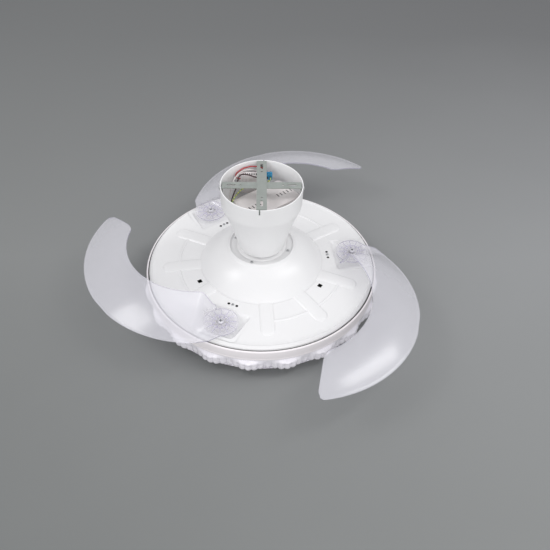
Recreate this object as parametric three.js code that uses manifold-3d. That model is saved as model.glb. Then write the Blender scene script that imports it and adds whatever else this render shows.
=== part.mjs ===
// A ceiling fan with a light, whose three clear blades fold in over its body.
// Millimetres, +Z up. The origin is the middle of the ceiling bracket's top face.
// The view of the photograph looks along +Y. Each blade is drawn as far open as it stands there.
import * as THREE from "three";
import { mergeVertices } from "three/addons/utils/BufferGeometryUtils.js";
import Module from "manifold-3d";

const wasm = await Module();
wasm.setup();

// ---------- Driving dimensions ----------

const seatGap = 0.3; // between pieces that touch
const runGap = 0.5; // between pieces that turn in each other
const past = 1; // how far a cutting form reaches past a face
const headShare = 2.2; // a screw head's radius over its shank's
const headRise = 1; // a screw head's height over its shank's radius
const screwClearance = 0.35;
const bodyRadius = 250; // of the round body, at its rim
const bladeCount = 3;
const firstBladeAzimuth = 6.5; // degrees, of the blade at the right of the photograph

// Ceiling bracket: two crossed strips
const barWidth = 20;
const barThickness = 1.6;
const barFlange = 16; // bent-down end
const barSlotLength = 18;
const barSlotWidth = 5.4;
const barSlotRadius = 60; // from the middle to a slot's middle
const barHoleRadius = 2;
const barHoleSpot = 42; // from the middle to a small hole

// Canopy cup
const cupHeight = 152;
const cupMouthRadius = 82.4;
const cupBandHeight = 43; // nearly upright band below the rim
const cupBandTaper = 0.9;
const cupFootRadius = 49;
const cupWaist = 2.4; // how far the slope dips inwards
const cupWall = 2;
const cupFloor = 2.5;
const cupNotchWidth = 2.6;
const cupNotchDepth = 12;
const cupNotchShift = 4; // from the middle of the bar that ends there
const canopyScrewRadius = 2;
const canopyScrewLength = 12;
const canopyScrewDrop = 9; // below the rim

// Receiver and light driver inside the cup
const receiverLength = 118;
const receiverWidth = 72;
const receiverHeight = 20;
const receiverLidHeight = 5;
const receiverWall = 1.6;
const receiverDrop = 29; // lid's top below the ceiling
const receiverTurn = 37; // degrees from +X
const receiverOffset = 11; // from the fan's axis to the box's middle line
const receiverShift = 4.5; // of its middle along that line
const receiverCorner = 8;
const receiverStep = 2; // by which the lid's back part is lower
const receiverStepPlace = 4; // from the box's middle line
const receiverSlots = 5; // in each of the lid's two rows
const receiverSlotPitch = 8;
const receiverSlotSize = [1.8, 9];
const receiverSlotInset = 4.5; // from the lid's end to the outermost slot's middle
const receiverSlotPlace = -7; // from the box's middle line
const driverLength = 46;
const driverDepth = 13;
const driverHeight = 44;
const driverCorner = 2;
const driverDrop = 13;
const driverSpot = [-20, 52];
const terminalSize = [14, 12, 12];
const terminalSpot = [14.5, 50];
const terminalDrop = 10;
const portSize = 3;
const wireRadius = 1.3;
const wireLead = 4; // straight part at a wire's ends
const leadHolePlaces = [24, 17, 10]; // of the holes in the receiver's end, from its middle line
const leadHoleDrop = 12.5; // below the lid's top
const driverEntry = 12; // below the driver's top, in its left end
// Points that each wire passes between its straight ends
const redRoute = [[2, 66, -9], [-14, 70, -7.5], [-30, 67, -7.5], [-44, 61, -11], [-53, 54, -19]];
const whiteRoute = [
  [14, 65.5, -17.5], [-2, 65.5, -16.5], [-20, 63.5, -11], [-37, 57, -9.5], [-50, 42, -11], [-58, 24, -14],
  [-62, 6, -20], [-64, -10, -29], [-62, -22, -37],
];
const blackRoute = [
  [2, 35, -12], [-14, 38, -10.5], [-30, 44, -9], [-42, 44, -10], [-48, 29, -12.5], [-51, 12, -18],
  [-57, -6, -25], [-60, -22, -32], [-56, -34, -39.5],
];
const earthRoute = [
  [12, 32, -18], [-4, 26, -20], [-22, 20, -20], [-38, 12, -21], [-48, 0, -23.5], [-55, -14, -25.5],
  [-59, -31, -31], [-54, -41, -39],
];

// Hollow shaft with its nuts
const shaftRadius = 8;
const shaftBore = 5;
const nutHeight = 8;
const nutRadius = 14;
const plateRadius = 30;
const plateThickness = 3;
const shaftFlangeRadius = 15;
const shaftFlangeHeight = 4;
const shaftEnd = 5; // beyond each nut
const spacerRadius = 10.4;
const leadRadius = 3; // of the cable for the lamps and the motor
const leadTop = 17; // over the upper nut
const leadTail = 13; // below the lower nut

// Motor
const bearingRadius = 13;
const bearingHeight = 9;
const bearingLip = 2; // that the housing keeps over the bearing's outer ring
const bearingBossWall = 4;
const housingRadius = 66;
const housingWall = 3;
const housingFlange = 18; // of the lower cover, under the disc
const magnetThickness = 5.5;
const magnetHeight = 28;
const airGap = 0.8;
const statorTeeth = 9;
const statorToothWidth = 7;
const statorTipWidth = 30;
const statorTipDepth = 4;
const statorHubRadius = 20;
const statorHeight = 15;
const statorTipInset = 6; // from the core's edge to a tip's middle
const windingInset = 8.8; // from the core's edge
const windingOverhang = 6;
const windingClearance = 1.2;

// Motor cover dome
const cupClearance = 2; // between cup and collar
const collarRadius = 70;
const collarLean = 4; // by which the collar's foot is wider than its top
const collarRim = 3;
const collarDepth = 5;
const domeHeight = 49.5;
const domeFootInset = 13.3; // from the circle of small holes to the dome's foot
const domeFootHeight = 3; // upright edge
const domeFootLean = 2;
const domeBulge = 5;
const domeWall = 2.2;
const domeWallLean = 0.6; // share of the wall by which its inside lies nearer the axis
const domeBore = 24;
const collarScrews = 4;
const collarScrewCircle = 59;
const collarScrewRadius = 1.6;
const collarScrewLength = 8;
const collarScrewAzimuth = 70;

// Turning disc
const discGap = 2.4; // between the disc and the rim
const discThickness = 2.5;
const discFlatInset = 49; // from the pivots' circle to the flat part's edge
const discFall = 5; // from the flat part to the bead
const beadInset = 5.6; // from the disc's edge
const beadWidth = 2;
const beadHeight = 1.5;
const beadFall = 3; // from the bead's foot to the upright edge
const discSkirt = 8; // turned-down edge
const pocketFloor = 6.2; // below the disc's flat part
const pocketInwards = [45, 52]; // from the pivot towards the axis, and half width there
const pocketOutwards = [32, 41]; // from the pivot to the edge, and half width there
const ribGap = 2.3; // between the dome's foot and the ribs
const ribReach = 12; // beyond the pivots' circle
const ribWidth = 28;
const ribHeight = 2;
const ribStep = 32.75; // degrees between the three ribs of a sector
const arcRibInset = 23; // from the pivots' circle
const arcRibWidth = 5;
const squareHole = 9;
const holeCircleInset = 55; // from the pivots' circle to the circle of small holes
const pairHoleRadius = 2.9;
const pairHoleSpread = 8.9;
const squareHoleAzimuth = 80.8; // degrees after each blade

// Blades
const pivotInset = 42.6; // from the disc's edge to the pivots' circle
const openAngles = [43.2, 50.2, 38]; // degrees from folded, as each blade stands in the photograph
const widestOpen = 50.2; // where a blade meets its stop
// Arcs of a folded blade's edges: their middle is counted from the pivot, +Y away from the fan's axis
const outerEdge = { radius: 241.7, middle: [8.5, -198.8], from: 84.2, to: -44.8 };
const innerEdge = { radius: 164.2, middle: [-7.7, -210.6], from: 87.2, to: -28.8 };
const outerEdgeRise = [-0.2, 21.2, -8]; // heights over the disc's flat part, as a quadratic
const innerEdgeRise = [48.6, -11.8, 0];
const bladeThickness = 3;
const bladeCamber = 4;
const rootRise = 0.085; // share of the blade over which it climbs from its root plate
const hubRadius = 35;
const hubHeight = 4.6; // of the hub plate's middle over the disc's flat part
const hubThickness = 3;
const hubCorners = [270, 180, 135]; // degrees, where the web between root and hub meets the hub

// Pivots, return springs and stops
const bossRadius = 9;
const bushWall = 2.8;
const bushFlangeRadius = 16;
const bushFlangeHeight = 2;
const armPlateRadius = 16;
const armPlateHeight = 3;
const armPlateDrop = 16.2; // its top below the disc's flat part
const leverReach = 27; // from the pivot
const leverWidth = 8;
const leverAzimuth = 65; // degrees from +X, folded
const stopSize = 6;
const stopRadius = 24;
const stopClearance = 1; // degrees
const bladeScrewRadius = 3;
const bladeScrewLength = 20;
const springWire = 0.65; // radius
const springClearance = 1; // round the bush
const springTurns = 2.5;
const springPitch = 1.9;
const springLeg = 7; // the short leg that bears on the arm plate
const postRadius = 3.7;
const postFlangeRadius = 6.5;
const postFlangeHeight = 1.5;
const postHeight = 17;
const postScrewRadius = 1.4;
const postScrewLength = 12;

// Light: tray, rim, lamp board and shade
const rimWall = 4;
const rimHeight = 24;
const rimDrop = 10.7; // rim's top below the disc's flat part
const rimFoot = 6;
const rimFootHeight = 2;
const rimBevel = [1.4, 2];
const trayThickness = 2.5;
const trayDrop = 29.7; // tray's top below the disc's flat part
const lampBoardInner = 60;
const lampBoardGap = 11; // to the shade's ring
const lampBoardThickness = 1.6;
const shadeRingInset = 11.5; // from the body's side
const shadeRingWall = 2.5;
const shadeRingHeight = 8;
const shadeRingFoot = 5;
const shadeRingFootHeight = 2;
const shadeWall = 3;
const shadeHeight = 48;
const shadeLipClearance = 1.2;
const shadeInset = 0.6; // of its top edge behind the body's side
const shadeWidest = [8, 19]; // drops between which it is widest
const shadeTurn = [4, 31]; // inwards and down, where the side turns under
const shadeFloorShare = 0.8; // of its radius, over which the underside is almost flat
const shadeFloorRise = 1.5;
const shadeInside = 28; // drop where the inside turns under
const shadeLobes = 20;
const shadeLobeDepth = 4;
const shadeBulge = 3.6;
const shadeLobeAzimuth = 246;

// Steps of round forms
const bigSteps = 48;
const midSteps = 36;
const motorSteps = 24;
const shaftSteps = 16;
const smallSteps = 8;
const lobeSteps = 4;

// ---------- Radii, from the rim inwards ----------

const rimInner = bodyRadius - rimWall;
const discRadius = rimInner - discGap;
const beadRadius = discRadius - beadInset;
const pivotRadius = discRadius - pivotInset;
const discFlatRadius = pivotRadius - discFlatInset;
const holeCircle = pivotRadius - holeCircleInset;
const domeFootRadius = holeCircle - domeFootInset;
const shadeRingRadius = bodyRadius - shadeRingInset;

// ---------- Levels, from the ceiling down ----------

const collarTop = -cupHeight - cupClearance;
const domeFoot = collarTop - domeHeight;
const discFlat = domeFoot - seatGap;
const housingTop = collarTop - collarDepth - domeWall - seatGap;
const coverTop = discFlat - discThickness - seatGap;
const coverBottom = coverTop - housingWall;
const motorMiddle = (housingTop + coverBottom) / 2;
const trayTop = discFlat - trayDrop;
const trayBottom = trayTop - trayThickness;
const rimTop = discFlat - rimDrop;
const rimBottom = rimTop - rimHeight;
const shadeTop = rimBottom - seatGap;
const lidTop = -receiverDrop;
const armPlateTop = -armPlateDrop; // over the disc's flat part

// ---------- Helpers ----------

const degrees = THREE.MathUtils.degToRad;
const polar = (radius, azimuth) =>
  new THREE.Vector3(radius * Math.cos(degrees(azimuth)), radius * Math.sin(degrees(azimuth)), 0);
const smooth = (x) => THREE.MathUtils.smoothstep(x, 0, 1);
const bladeAzimuth = (i) => firstBladeAzimuth + (360 / bladeCount) * i;

// A closed solid from a geometry, with its faces turned outwards.
function solid(geometry) {
  const bare = new THREE.BufferGeometry();
  const source = geometry.index ? geometry.toNonIndexed() : geometry;
  bare.setAttribute("position", source.getAttribute("position"));
  const merged = mergeVertices(bare, 1e-4);
  const corners = [...merged.index.array];
  const faces = [];
  for (let i = 0; i < corners.length; i += 3) {
    const [a, b, c] = corners.slice(i, i + 3);
    if (a !== b && b !== c && c !== a) faces.push([a, b, c]);
  }
  const make = (list) =>
    new wasm.Manifold(
      new wasm.Mesh({
        numProp: 3,
        vertProperties: merged.attributes.position.array,
        triVerts: new Uint32Array(list.flat()),
      }),
    );
  const made = make(faces);
  return made.volume() >= 0 ? made : make(faces.map(([a, b, c]) => [a, c, b]));
}

const join = (...solids) => solids.reduce((sum, next) => sum.add(next));
const cut = (body, ...tools) => tools.reduce((rest, tool) => rest.subtract(tool), body);

// A profile of [radius, height] points turned round the Z axis; a ring's profile is closed for it.
function turned(profile, steps) {
  const onAxis = profile[0][0] === 0;
  const points = onAxis ? profile : [...profile, profile[0]];
  const path = points.map(([r, z]) => new THREE.Vector2(r, z));
  return solid(new THREE.LatheGeometry(path, steps).rotateX(Math.PI / 2));
}

const ring = (inner, outer, bottom, top, steps) =>
  turned([[inner, bottom], [outer, bottom], [outer, top], [inner, top]], steps);

const rod = (radius, bottom, top, steps = smallSteps) =>
  turned([[0, bottom], [radius, bottom], [radius, top], [0, top]], steps);

const box = (x, y, z, at = [0, 0, 0]) => solid(new THREE.BoxGeometry(x, y, z).translate(...at));

// A flat outline, given as a shape or as [x, y] points, raised between two heights.
function raised(outline, bottom, top, curveSegments = 8) {
  const shape = outline instanceof THREE.Shape
    ? outline
    : new THREE.Shape(outline.map(([x, y]) => new THREE.Vector2(x, y)));
  const flat = new THREE.ExtrudeGeometry(shape, {
    depth: top - bottom,
    bevelEnabled: false,
    curveSegments,
  });
  return solid(flat.translate(0, 0, bottom));
}

// A bar with round ends, along X, centred.
function roundBar(length, width) {
  const shape = new THREE.Shape();
  const straight = (length - width) / 2;
  shape.absarc(straight, 0, width / 2, -Math.PI / 2, Math.PI / 2);
  shape.absarc(-straight, 0, width / 2, Math.PI / 2, Math.PI * 1.5);
  return shape;
}

function roundedBox(length, width, height, corner) {
  const x = length / 2 - corner;
  const y = width / 2 - corner;
  const shape = new THREE.Shape();
  shape.absarc(x, -y, corner, -Math.PI / 2, 0);
  shape.absarc(x, y, corner, 0, Math.PI / 2);
  shape.absarc(-x, y, corner, Math.PI / 2, Math.PI);
  shape.absarc(-x, -y, corner, Math.PI, Math.PI * 1.5);
  return raised(shape, 0, height, 2);
}

function swept(curve, radius, sides, steps) {
  const section = new THREE.Shape();
  for (let i = 0; i < sides; i++) {
    const corner = polar(radius, (360 / sides) * i);
    if (i === 0) section.moveTo(corner.x, corner.y);
    else section.lineTo(corner.x, corner.y);
  }
  return solid(new THREE.ExtrudeGeometry(section, { extrudePath: curve, steps, bevelEnabled: false }));
}

// The body turned about Z and then moved.
const placed = (body, at, azimuth = 0) => body.rotate([0, 0, azimuth]).translate([at.x, at.y, at.z]);

const finishes = {
  whiteMetal: { color: 0xf1f1f0, roughness: 0.4, metalness: 0.05 },
  whitePlastic: { color: 0xf4f3f1, roughness: 0.45, metalness: 0 },
  zincSteel: { color: 0x9fa39f, roughness: 0.45, metalness: 0.9 },
  screwSteel: { color: 0xb9bbbd, roughness: 0.35, metalness: 0.9 },
  clearPlastic: { color: 0xd9d6e4, roughness: 0.1, metalness: 0 },
  frosted: { color: 0xeeecf4, roughness: 0.3, metalness: 0 },
  copper: { color: 0xb56c3c, roughness: 0.4, metalness: 0.9 },
  darkSteel: { color: 0x55585c, roughness: 0.5, metalness: 0.8 },
  nylon: { color: 0xe6e3d8, roughness: 0.5, metalness: 0 },
  board: { color: 0xf0f0ea, roughness: 0.5, metalness: 0.1 },
  blue: { color: 0x2f8fc0, roughness: 0.4, metalness: 0 },
  red: { color: 0xc23a34, roughness: 0.5, metalness: 0 },
  black: { color: 0x2a2422, roughness: 0.5, metalness: 0 },
  white: { color: 0xe9e7e2, roughness: 0.5, metalness: 0 },
  earth: { color: 0x9ea04a, roughness: 0.5, metalness: 0 },
};

function piece(parent, name, body, finish) {
  const made = body.getMesh();
  const geometry = new THREE.BufferGeometry();
  geometry.setAttribute("position", new THREE.BufferAttribute(new Float32Array(made.vertProperties), 3));
  geometry.setIndex(new THREE.BufferAttribute(new Uint32Array(made.triVerts), 1));
  geometry.computeVertexNormals();
  const mesh = new THREE.Mesh(geometry, new THREE.MeshStandardMaterial(finishes[finish]));
  mesh.name = name;
  parent.add(mesh);
  return mesh;
}

function group(parent, at = new THREE.Vector3(), turn = 0) {
  const made = new THREE.Group();
  made.position.copy(at);
  made.rotation.z = degrees(turn);
  parent.add(made);
  return made;
}

// A screw whose head stands on height 0, its shank pointing down.
const screw = (radius, length) =>
  join(rod(radius, -length, (headRise * radius) / 2), rod(headShare * radius, 0, headRise * radius));

// ---------- Ceiling bracket ----------

const cupInner = cupMouthRadius - cupWall;
const barReach = Math.sqrt((cupInner - seatGap) ** 2 - (barWidth / 2) ** 2) - cupBandTaper;

function bracketBar(top) {
  const strip = box(2 * barReach, barWidth, barThickness, [0, 0, -barThickness / 2]);
  const parts = [strip];
  const holes = [];
  for (const side of [-1, 1]) {
    const flangeX = side * (barReach - barThickness / 2);
    parts.push(box(barThickness, barWidth, barFlange, [flangeX, 0, -barFlange / 2]));
    const slot = raised(roundBar(barSlotLength, barSlotWidth), -2 * barThickness, barThickness, 4);
    holes.push(slot.translate([side * barSlotRadius, 0, 0]));
    holes.push(rod(barHoleRadius, -2 * barThickness, barThickness).translate([side * barHoleSpot, 0, 0]));
    const screwHole = rod(canopyScrewRadius + screwClearance, -barFlange, barFlange).rotate([0, 90, 0]);
    holes.push(screwHole.translate([side * barReach, 0, -canopyScrewDrop - top]));
  }
  return cut(join(...parts), ...holes);
}

function addBracket(parent) {
  piece(parent, "bracket_bar_upper", bracketBar(0), "zincSteel").rotation.z = Math.PI / 2;
  const lowerTop = -barThickness - seatGap;
  piece(parent, "bracket_bar_lower", bracketBar(lowerTop), "zincSteel").position.z = lowerTop;
}

// ---------- Canopy cup ----------

// Outer radius of the cup at a depth below its rim.
function cupRadiusAt(depth) {
  const bandFoot = cupMouthRadius - cupBandTaper;
  if (depth <= cupBandHeight) return cupMouthRadius - (cupBandTaper * depth) / cupBandHeight;
  const t = (depth - cupBandHeight) / (cupHeight - cupBandHeight);
  return THREE.MathUtils.lerp(bandFoot, cupFootRadius, t) - cupWaist * Math.sin(Math.PI * t);
}

function addCup(parent) {
  const outer = [];
  const inner = [];
  const slopeSteps = 4;
  const innerFloor = cupHeight - cupFloor;
  outer.push([cupRadiusAt(0), 0]);
  inner.push([cupRadiusAt(0) - cupWall, 0]);
  for (let i = 0; i <= slopeSteps; i++) {
    const depth = cupBandHeight + ((cupHeight - cupBandHeight) * i) / slopeSteps;
    outer.push([cupRadiusAt(depth), -depth]);
    const innerDepth = Math.min(depth, innerFloor);
    inner.push([cupRadiusAt(innerDepth) - cupWall, -innerDepth]);
  }
  const bore = shaftRadius + seatGap;
  const profile = [[bore, -innerFloor], ...inner.reverse(), ...outer, [bore, -cupHeight]];
  const holes = [];
  for (const side of [-1, 1]) {
    const hole = rod(canopyScrewRadius + screwClearance, -cupWall * 3, cupWall * 3).rotate([0, 90, 0]);
    holes.push(hole.translate([side * cupInner, 0, -canopyScrewDrop]));
    const notch = box(cupNotchWidth, 6 * cupWall, 2 * cupNotchDepth);
    holes.push(notch.translate([side * cupNotchShift, side * cupInner, 0]));
  }
  piece(parent, "canopy_cup", cut(turned(profile, midSteps), ...holes), "whiteMetal");
  for (const side of [-1, 1]) {
    const name = side > 0 ? "canopy_screw_1" : "canopy_screw_2";
    const made = piece(parent, name, screw(canopyScrewRadius, canopyScrewLength), "screwSteel");
    made.rotation.y = (side * Math.PI) / 2;
    made.position.set(side * (cupMouthRadius + seatGap), 0, -canopyScrewDrop);
  }
}

// ---------- Receiver, light driver, connector and wires ----------

const receiverMiddle = polar(receiverOffset, receiverTurn - 90).add(polar(receiverShift, receiverTurn));

function addReceiver(parent) {
  const place = group(parent, receiverMiddle, receiverTurn);
  const trayHeight = receiverHeight - receiverLidHeight - seatGap;
  const shell = roundedBox(receiverLength, receiverWidth, trayHeight, receiverCorner);
  const hollow = roundedBox(
    receiverLength - 2 * receiverWall,
    receiverWidth - 2 * receiverWall,
    trayHeight,
    receiverCorner - receiverWall,
  );
  const leadHoles = leadHolePlaces.map((y) => {
    const hole = rod(wireRadius + seatGap, 0, receiverLength).rotate([0, -90, 0]);
    return hole.translate([0, y, receiverHeight - leadHoleDrop]);
  });
  const tray = cut(shell, hollow.translate([0, 0, receiverWall]), ...leadHoles);
  piece(place, "receiver_box", tray, "whitePlastic").position.z = lidTop - receiverHeight;
  const slots = [];
  for (const side of [-1, 1]) {
    for (let i = 0; i < receiverSlots; i++) {
      const slot = box(...receiverSlotSize, 4 * receiverLidHeight);
      const x = side * (receiverLength / 2 - receiverSlotInset - i * receiverSlotPitch);
      slots.push(slot.translate([x, receiverSlotPlace, 0]));
    }
  }
  const stepMiddle = [0, receiverStepPlace + receiverWidth / 2, receiverLidHeight];
  const step = box(2 * receiverLength, receiverWidth, 2 * receiverStep, stepMiddle);
  const block = roundedBox(receiverLength, receiverWidth, receiverLidHeight, receiverCorner);
  const lid = cut(block, step, ...slots);
  piece(place, "receiver_lid", lid, "whitePlastic").position.z = lidTop - receiverLidHeight;
}

function addDriver(parent) {
  const body = roundedBox(driverLength, driverDepth, driverHeight, driverCorner);
  const made = piece(parent, "light_driver", body, "whitePlastic");
  made.position.set(driverSpot[0], driverSpot[1], -driverDrop - driverHeight);
}

function addConnectorAndWires(parent) {
  const [length, depth, height] = terminalSize;
  const place = group(parent, new THREE.Vector3(...terminalSpot, -terminalDrop - height / 2));
  const ports = [-1, 1].map((side) => box(portSize, 2 * depth, portSize, [(side * length) / 4, 0, 0]));
  piece(place, "wire_connector", cut(box(length, depth, height), ...ports), "blue");
  const end = (y) => {
    const across = polar(y, receiverTurn + 90);
    const along = polar(receiverLength / 2 + seatGap, receiverTurn + 180);
    return receiverMiddle.clone().add(across).add(along).setZ(lidTop - leadHoleDrop);
  };
  const away = polar(wireLead, receiverTurn + 180);
  const left = new THREE.Vector3(-wireLead, 0, 0);
  const driverEnd = driverSpot[0] - driverLength / 2 - seatGap;
  const entry = new THREE.Vector3(driverEnd, driverSpot[1], -driverDrop - driverEntry);
  const wires = [
    ["wire_red", "red", -1, 1, redRoute, entry, left],
    ["wire_white", "white", 1, 1, whiteRoute, end(leadHolePlaces[0]), away],
    ["wire_black", "black", -1, -1, blackRoute, end(leadHolePlaces[1]), away],
    ["wire_earth", "earth", 1, -1, earthRoute, end(leadHolePlaces[2]), away],
  ];
  for (const [name, finish, across, along, route, goal, back] of wires) {
    const start = place.position.clone();
    start.x += (across * length) / 4;
    start.y += along * (depth / 2 + seatGap);
    const lead = start.clone();
    lead.y += along * wireLead;
    const points = [start, lead, ...route.map((p) => new THREE.Vector3(...p)), goal.clone().add(back), goal];
    piece(parent, name, swept(new THREE.CatmullRomCurve3(points), wireRadius, 5, 18), finish);
  }
}

// ---------- Shaft, plate and nuts ----------

const cupFloorTop = -cupHeight + cupFloor;
const upperNutBottom = cupFloorTop + plateThickness + 2 * seatGap;
const shaftTop = upperNutBottom + nutHeight + shaftEnd;
const lowerNutTop = trayBottom - seatGap;
const shaftBottom = lowerNutTop - nutHeight - shaftEnd;

function addShaft(parent) {
  const flangeBottom = trayTop + seatGap;
  const body = join(
    rod(shaftRadius, shaftBottom, shaftTop, shaftSteps),
    rod(shaftFlangeRadius, flangeBottom, flangeBottom + shaftFlangeHeight, shaftSteps),
  );
  const bore = rod(shaftBore, shaftBottom - past, shaftTop + past, shaftSteps);
  piece(parent, "hollow_shaft", cut(body, bore), "darkSteel");
  const plate = ring(shaftRadius + seatGap, plateRadius, 0, plateThickness, shaftSteps);
  piece(parent, "shaft_plate", plate, "zincSteel").position.z = cupFloorTop + seatGap;
  const nutBore = rod(shaftRadius + seatGap, -past, nutHeight + past, shaftSteps);
  const nut = cut(rod(nutRadius, 0, nutHeight, 6), nutBore);
  piece(parent, "shaft_nut_upper", nut, "zincSteel").position.z = upperNutBottom;
  piece(parent, "shaft_nut_lower", nut, "zincSteel").position.z = lowerNutTop - nutHeight;
  const spacerBottom = housingTop - bearingLip - seatGap;
  const spacer = ring(shaftRadius + seatGap, spacerRadius, spacerBottom, -cupHeight - seatGap, shaftSteps);
  piece(parent, "shaft_spacer", spacer, "darkSteel");
  const lead = rod(leadRadius, lowerNutTop - nutHeight - leadTail, upperNutBottom + nutHeight + leadTop);
  piece(parent, "shaft_lead", lead, "white");
}

// ---------- Motor ----------

const bossOuter = bearingRadius + seatGap + bearingBossWall;
const lipRadius = bearingRadius - bearingLip;

function addStator(parent) {
  const outerRadius = housingRadius - housingWall - seatGap - magnetThickness - airGap;
  const half = statorHeight / 2;
  const parts = [rod(statorHubRadius, -half, half, shaftSteps)];
  for (let i = 0; i < statorTeeth; i++) {
    const azimuth = (360 / statorTeeth) * i;
    const toothLength = outerRadius - statorTipDepth / 2;
    const tooth = box(toothLength, statorToothWidth, statorHeight, [toothLength / 2, 0, 0]);
    const tip = box(statorTipDepth, statorTipWidth, statorHeight, [outerRadius - statorTipInset, 0, 0]);
    parts.push(join(tooth, tip).rotate([0, 0, azimuth]));
  }
  const bore = rod(shaftRadius + seatGap, -statorHeight, statorHeight, shaftSteps);
  const core = join(...parts).intersect(rod(outerRadius, -half, half, motorSteps));
  piece(parent, "stator_core", cut(core, bore), "darkSteel").position.z = motorMiddle;
  const windingOuter = outerRadius - windingInset;
  const windingHalf = half + windingOverhang;
  const slots = [];
  for (let i = 0; i < statorTeeth; i++) {
    const wide = statorToothWidth + windingClearance;
    const high = statorHeight + windingClearance;
    const slot = box(2 * windingOuter, wide, high, [windingOuter, 0, 0]);
    slots.push(slot.rotate([0, 0, (360 / statorTeeth) * i]));
  }
  const winding = cut(
    ring(statorHubRadius + windingClearance, windingOuter, -windingHalf, windingHalf, motorSteps),
    ...slots,
  );
  piece(parent, "stator_winding", winding, "copper").position.z = motorMiddle;
}

function addMotorShell(parent) {
  const plateBottom = housingTop - housingWall;
  const bossBottom = plateBottom - bearingHeight;
  const wallInner = housingRadius - housingWall;
  const seat = bearingRadius + seatGap;
  const upper = [
    [lipRadius, housingTop], [lipRadius, housingTop - bearingLip], [seat, housingTop - bearingLip],
    [seat, bossBottom], [bossOuter, bossBottom], [bossOuter, plateBottom], [wallInner, plateBottom],
    [wallInner, coverTop + seatGap], [housingRadius, coverTop + seatGap], [housingRadius, housingTop],
  ];
  const holes = [];
  for (let i = 0; i < collarScrews; i++) {
    const at = polar(collarScrewCircle, collarScrewAzimuth + (360 / collarScrews) * i);
    const hole = rod(collarScrewRadius + screwClearance, plateBottom - past, housingTop + past);
    holes.push(placed(hole, at));
  }
  piece(parent, "motor_housing", cut(turned(upper, motorSteps), ...holes), "darkSteel");
  const bossTop = coverBottom + bearingLip + seatGap + bearingHeight;
  const lower = [
    [lipRadius, coverBottom], [housingRadius + housingFlange, coverBottom],
    [housingRadius + housingFlange, coverTop], [bossOuter, coverTop], [bossOuter, bossTop], [seat, bossTop],
    [seat, coverBottom + bearingLip], [lipRadius, coverBottom + bearingLip],
  ];
  piece(parent, "motor_bottom_cover", turned(lower, motorSteps), "darkSteel");
  const bearing = ring(shaftRadius + seatGap, bearingRadius, 0, bearingHeight, shaftSteps);
  const upperAt = housingTop - bearingLip - seatGap - bearingHeight;
  piece(parent, "bearing_upper", bearing, "screwSteel").position.z = upperAt - seatGap;
  piece(parent, "bearing_lower", bearing, "screwSteel").position.z = coverBottom + bearingLip + seatGap;
  const magnetOuter = wallInner - seatGap;
  const magnets = ring(magnetOuter - magnetThickness, magnetOuter, 0, magnetHeight, motorSteps);
  piece(parent, "magnet_ring", magnets, "darkSteel").position.z = motorMiddle - magnetHeight / 2;
}

// ---------- Motor cover dome ----------

function addDome(parent) {
  const footDrop = domeHeight - domeFootHeight;
  const recess = collarTop - collarDepth;
  const slope = [];
  const slopeSteps = 3;
  for (let i = 0; i <= slopeSteps; i++) {
    const t = i / slopeSteps;
    const radius = THREE.MathUtils.lerp(collarRadius + collarLean, domeFootRadius - domeFootLean, t);
    const sag = domeBulge * Math.sin(Math.PI * t);
    slope.push([radius, collarTop - collarDepth - (footDrop - collarDepth) * t + sag]);
  }
  const outer = [[collarRadius, collarTop], ...slope, [domeFootRadius, domeFoot]];
  const under = [...slope].reverse().map(([r, z]) => [r - domeWallLean * domeWall, z - domeWall]);
  const inner = [[domeFootRadius - (1 + domeWallLean) * domeWall, domeFoot], ...under.slice(0, -1)];
  const plateEdge = collarRadius - collarRim;
  const profile = [
    [domeBore, recess - domeWall], [domeBore, recess], [plateEdge, recess], [plateEdge, collarTop],
    ...outer, ...inner, [plateEdge, recess - domeWall],
  ];
  const holes = [];
  for (let i = 0; i < collarScrews; i++) {
    const at = polar(collarScrewCircle, collarScrewAzimuth + (360 / collarScrews) * i);
    const hole = rod(collarScrewRadius + screwClearance, recess - 2 * domeWall, recess + past);
    holes.push(placed(hole, at));
  }
  piece(parent, "motor_cover_dome", cut(turned(profile, midSteps), ...holes), "whitePlastic");
  for (let i = 0; i < collarScrews; i++) {
    const body = screw(collarScrewRadius, collarScrewLength);
    const made = piece(parent, `collar_screw_${i + 1}`, body, "screwSteel");
    made.position.copy(polar(collarScrewCircle, collarScrewAzimuth + (360 / collarScrews) * i));
    made.position.z = recess + seatGap;
  }
}

// ---------- Turning disc, heights over its flat part ----------

const aboveDisc = 20; // cutting forms reach this far over and under its flat part

// The disc's section, its top raised by a height between the flat part and the bead.
function discSection(lift) {
  const bore = housingRadius + seatGap;
  const beadFoot = beadRadius - beadWidth;
  const top = [
    [bore, lift], [discFlatRadius, lift], [beadFoot, -discFall + lift], [beadRadius, -discFall + beadHeight],
    [discRadius, -discFall - beadFall], [discRadius, -discFall - discSkirt],
  ];
  const under = [
    [discRadius - discThickness, -discFall - discSkirt], [beadRadius, -discFall - discThickness],
    [discFlatRadius, -discThickness], [bore, -discThickness],
  ];
  return turned([...top, ...under].reverse(), bigSteps);
}

// A trapezium of the pocket round a blade's pivot, widened by a margin.
function pocketOutline(margin) {
  const [inwards, nearHalf] = pocketInwards;
  const [outwards, farHalf] = pocketOutwards;
  const near = pivotRadius - inwards - margin;
  const far = pivotRadius + outwards + margin;
  return [
    [near, -nearHalf - margin], [far, -farHalf - margin], [far, farHalf + margin], [near, nearHalf + margin],
  ];
}

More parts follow.
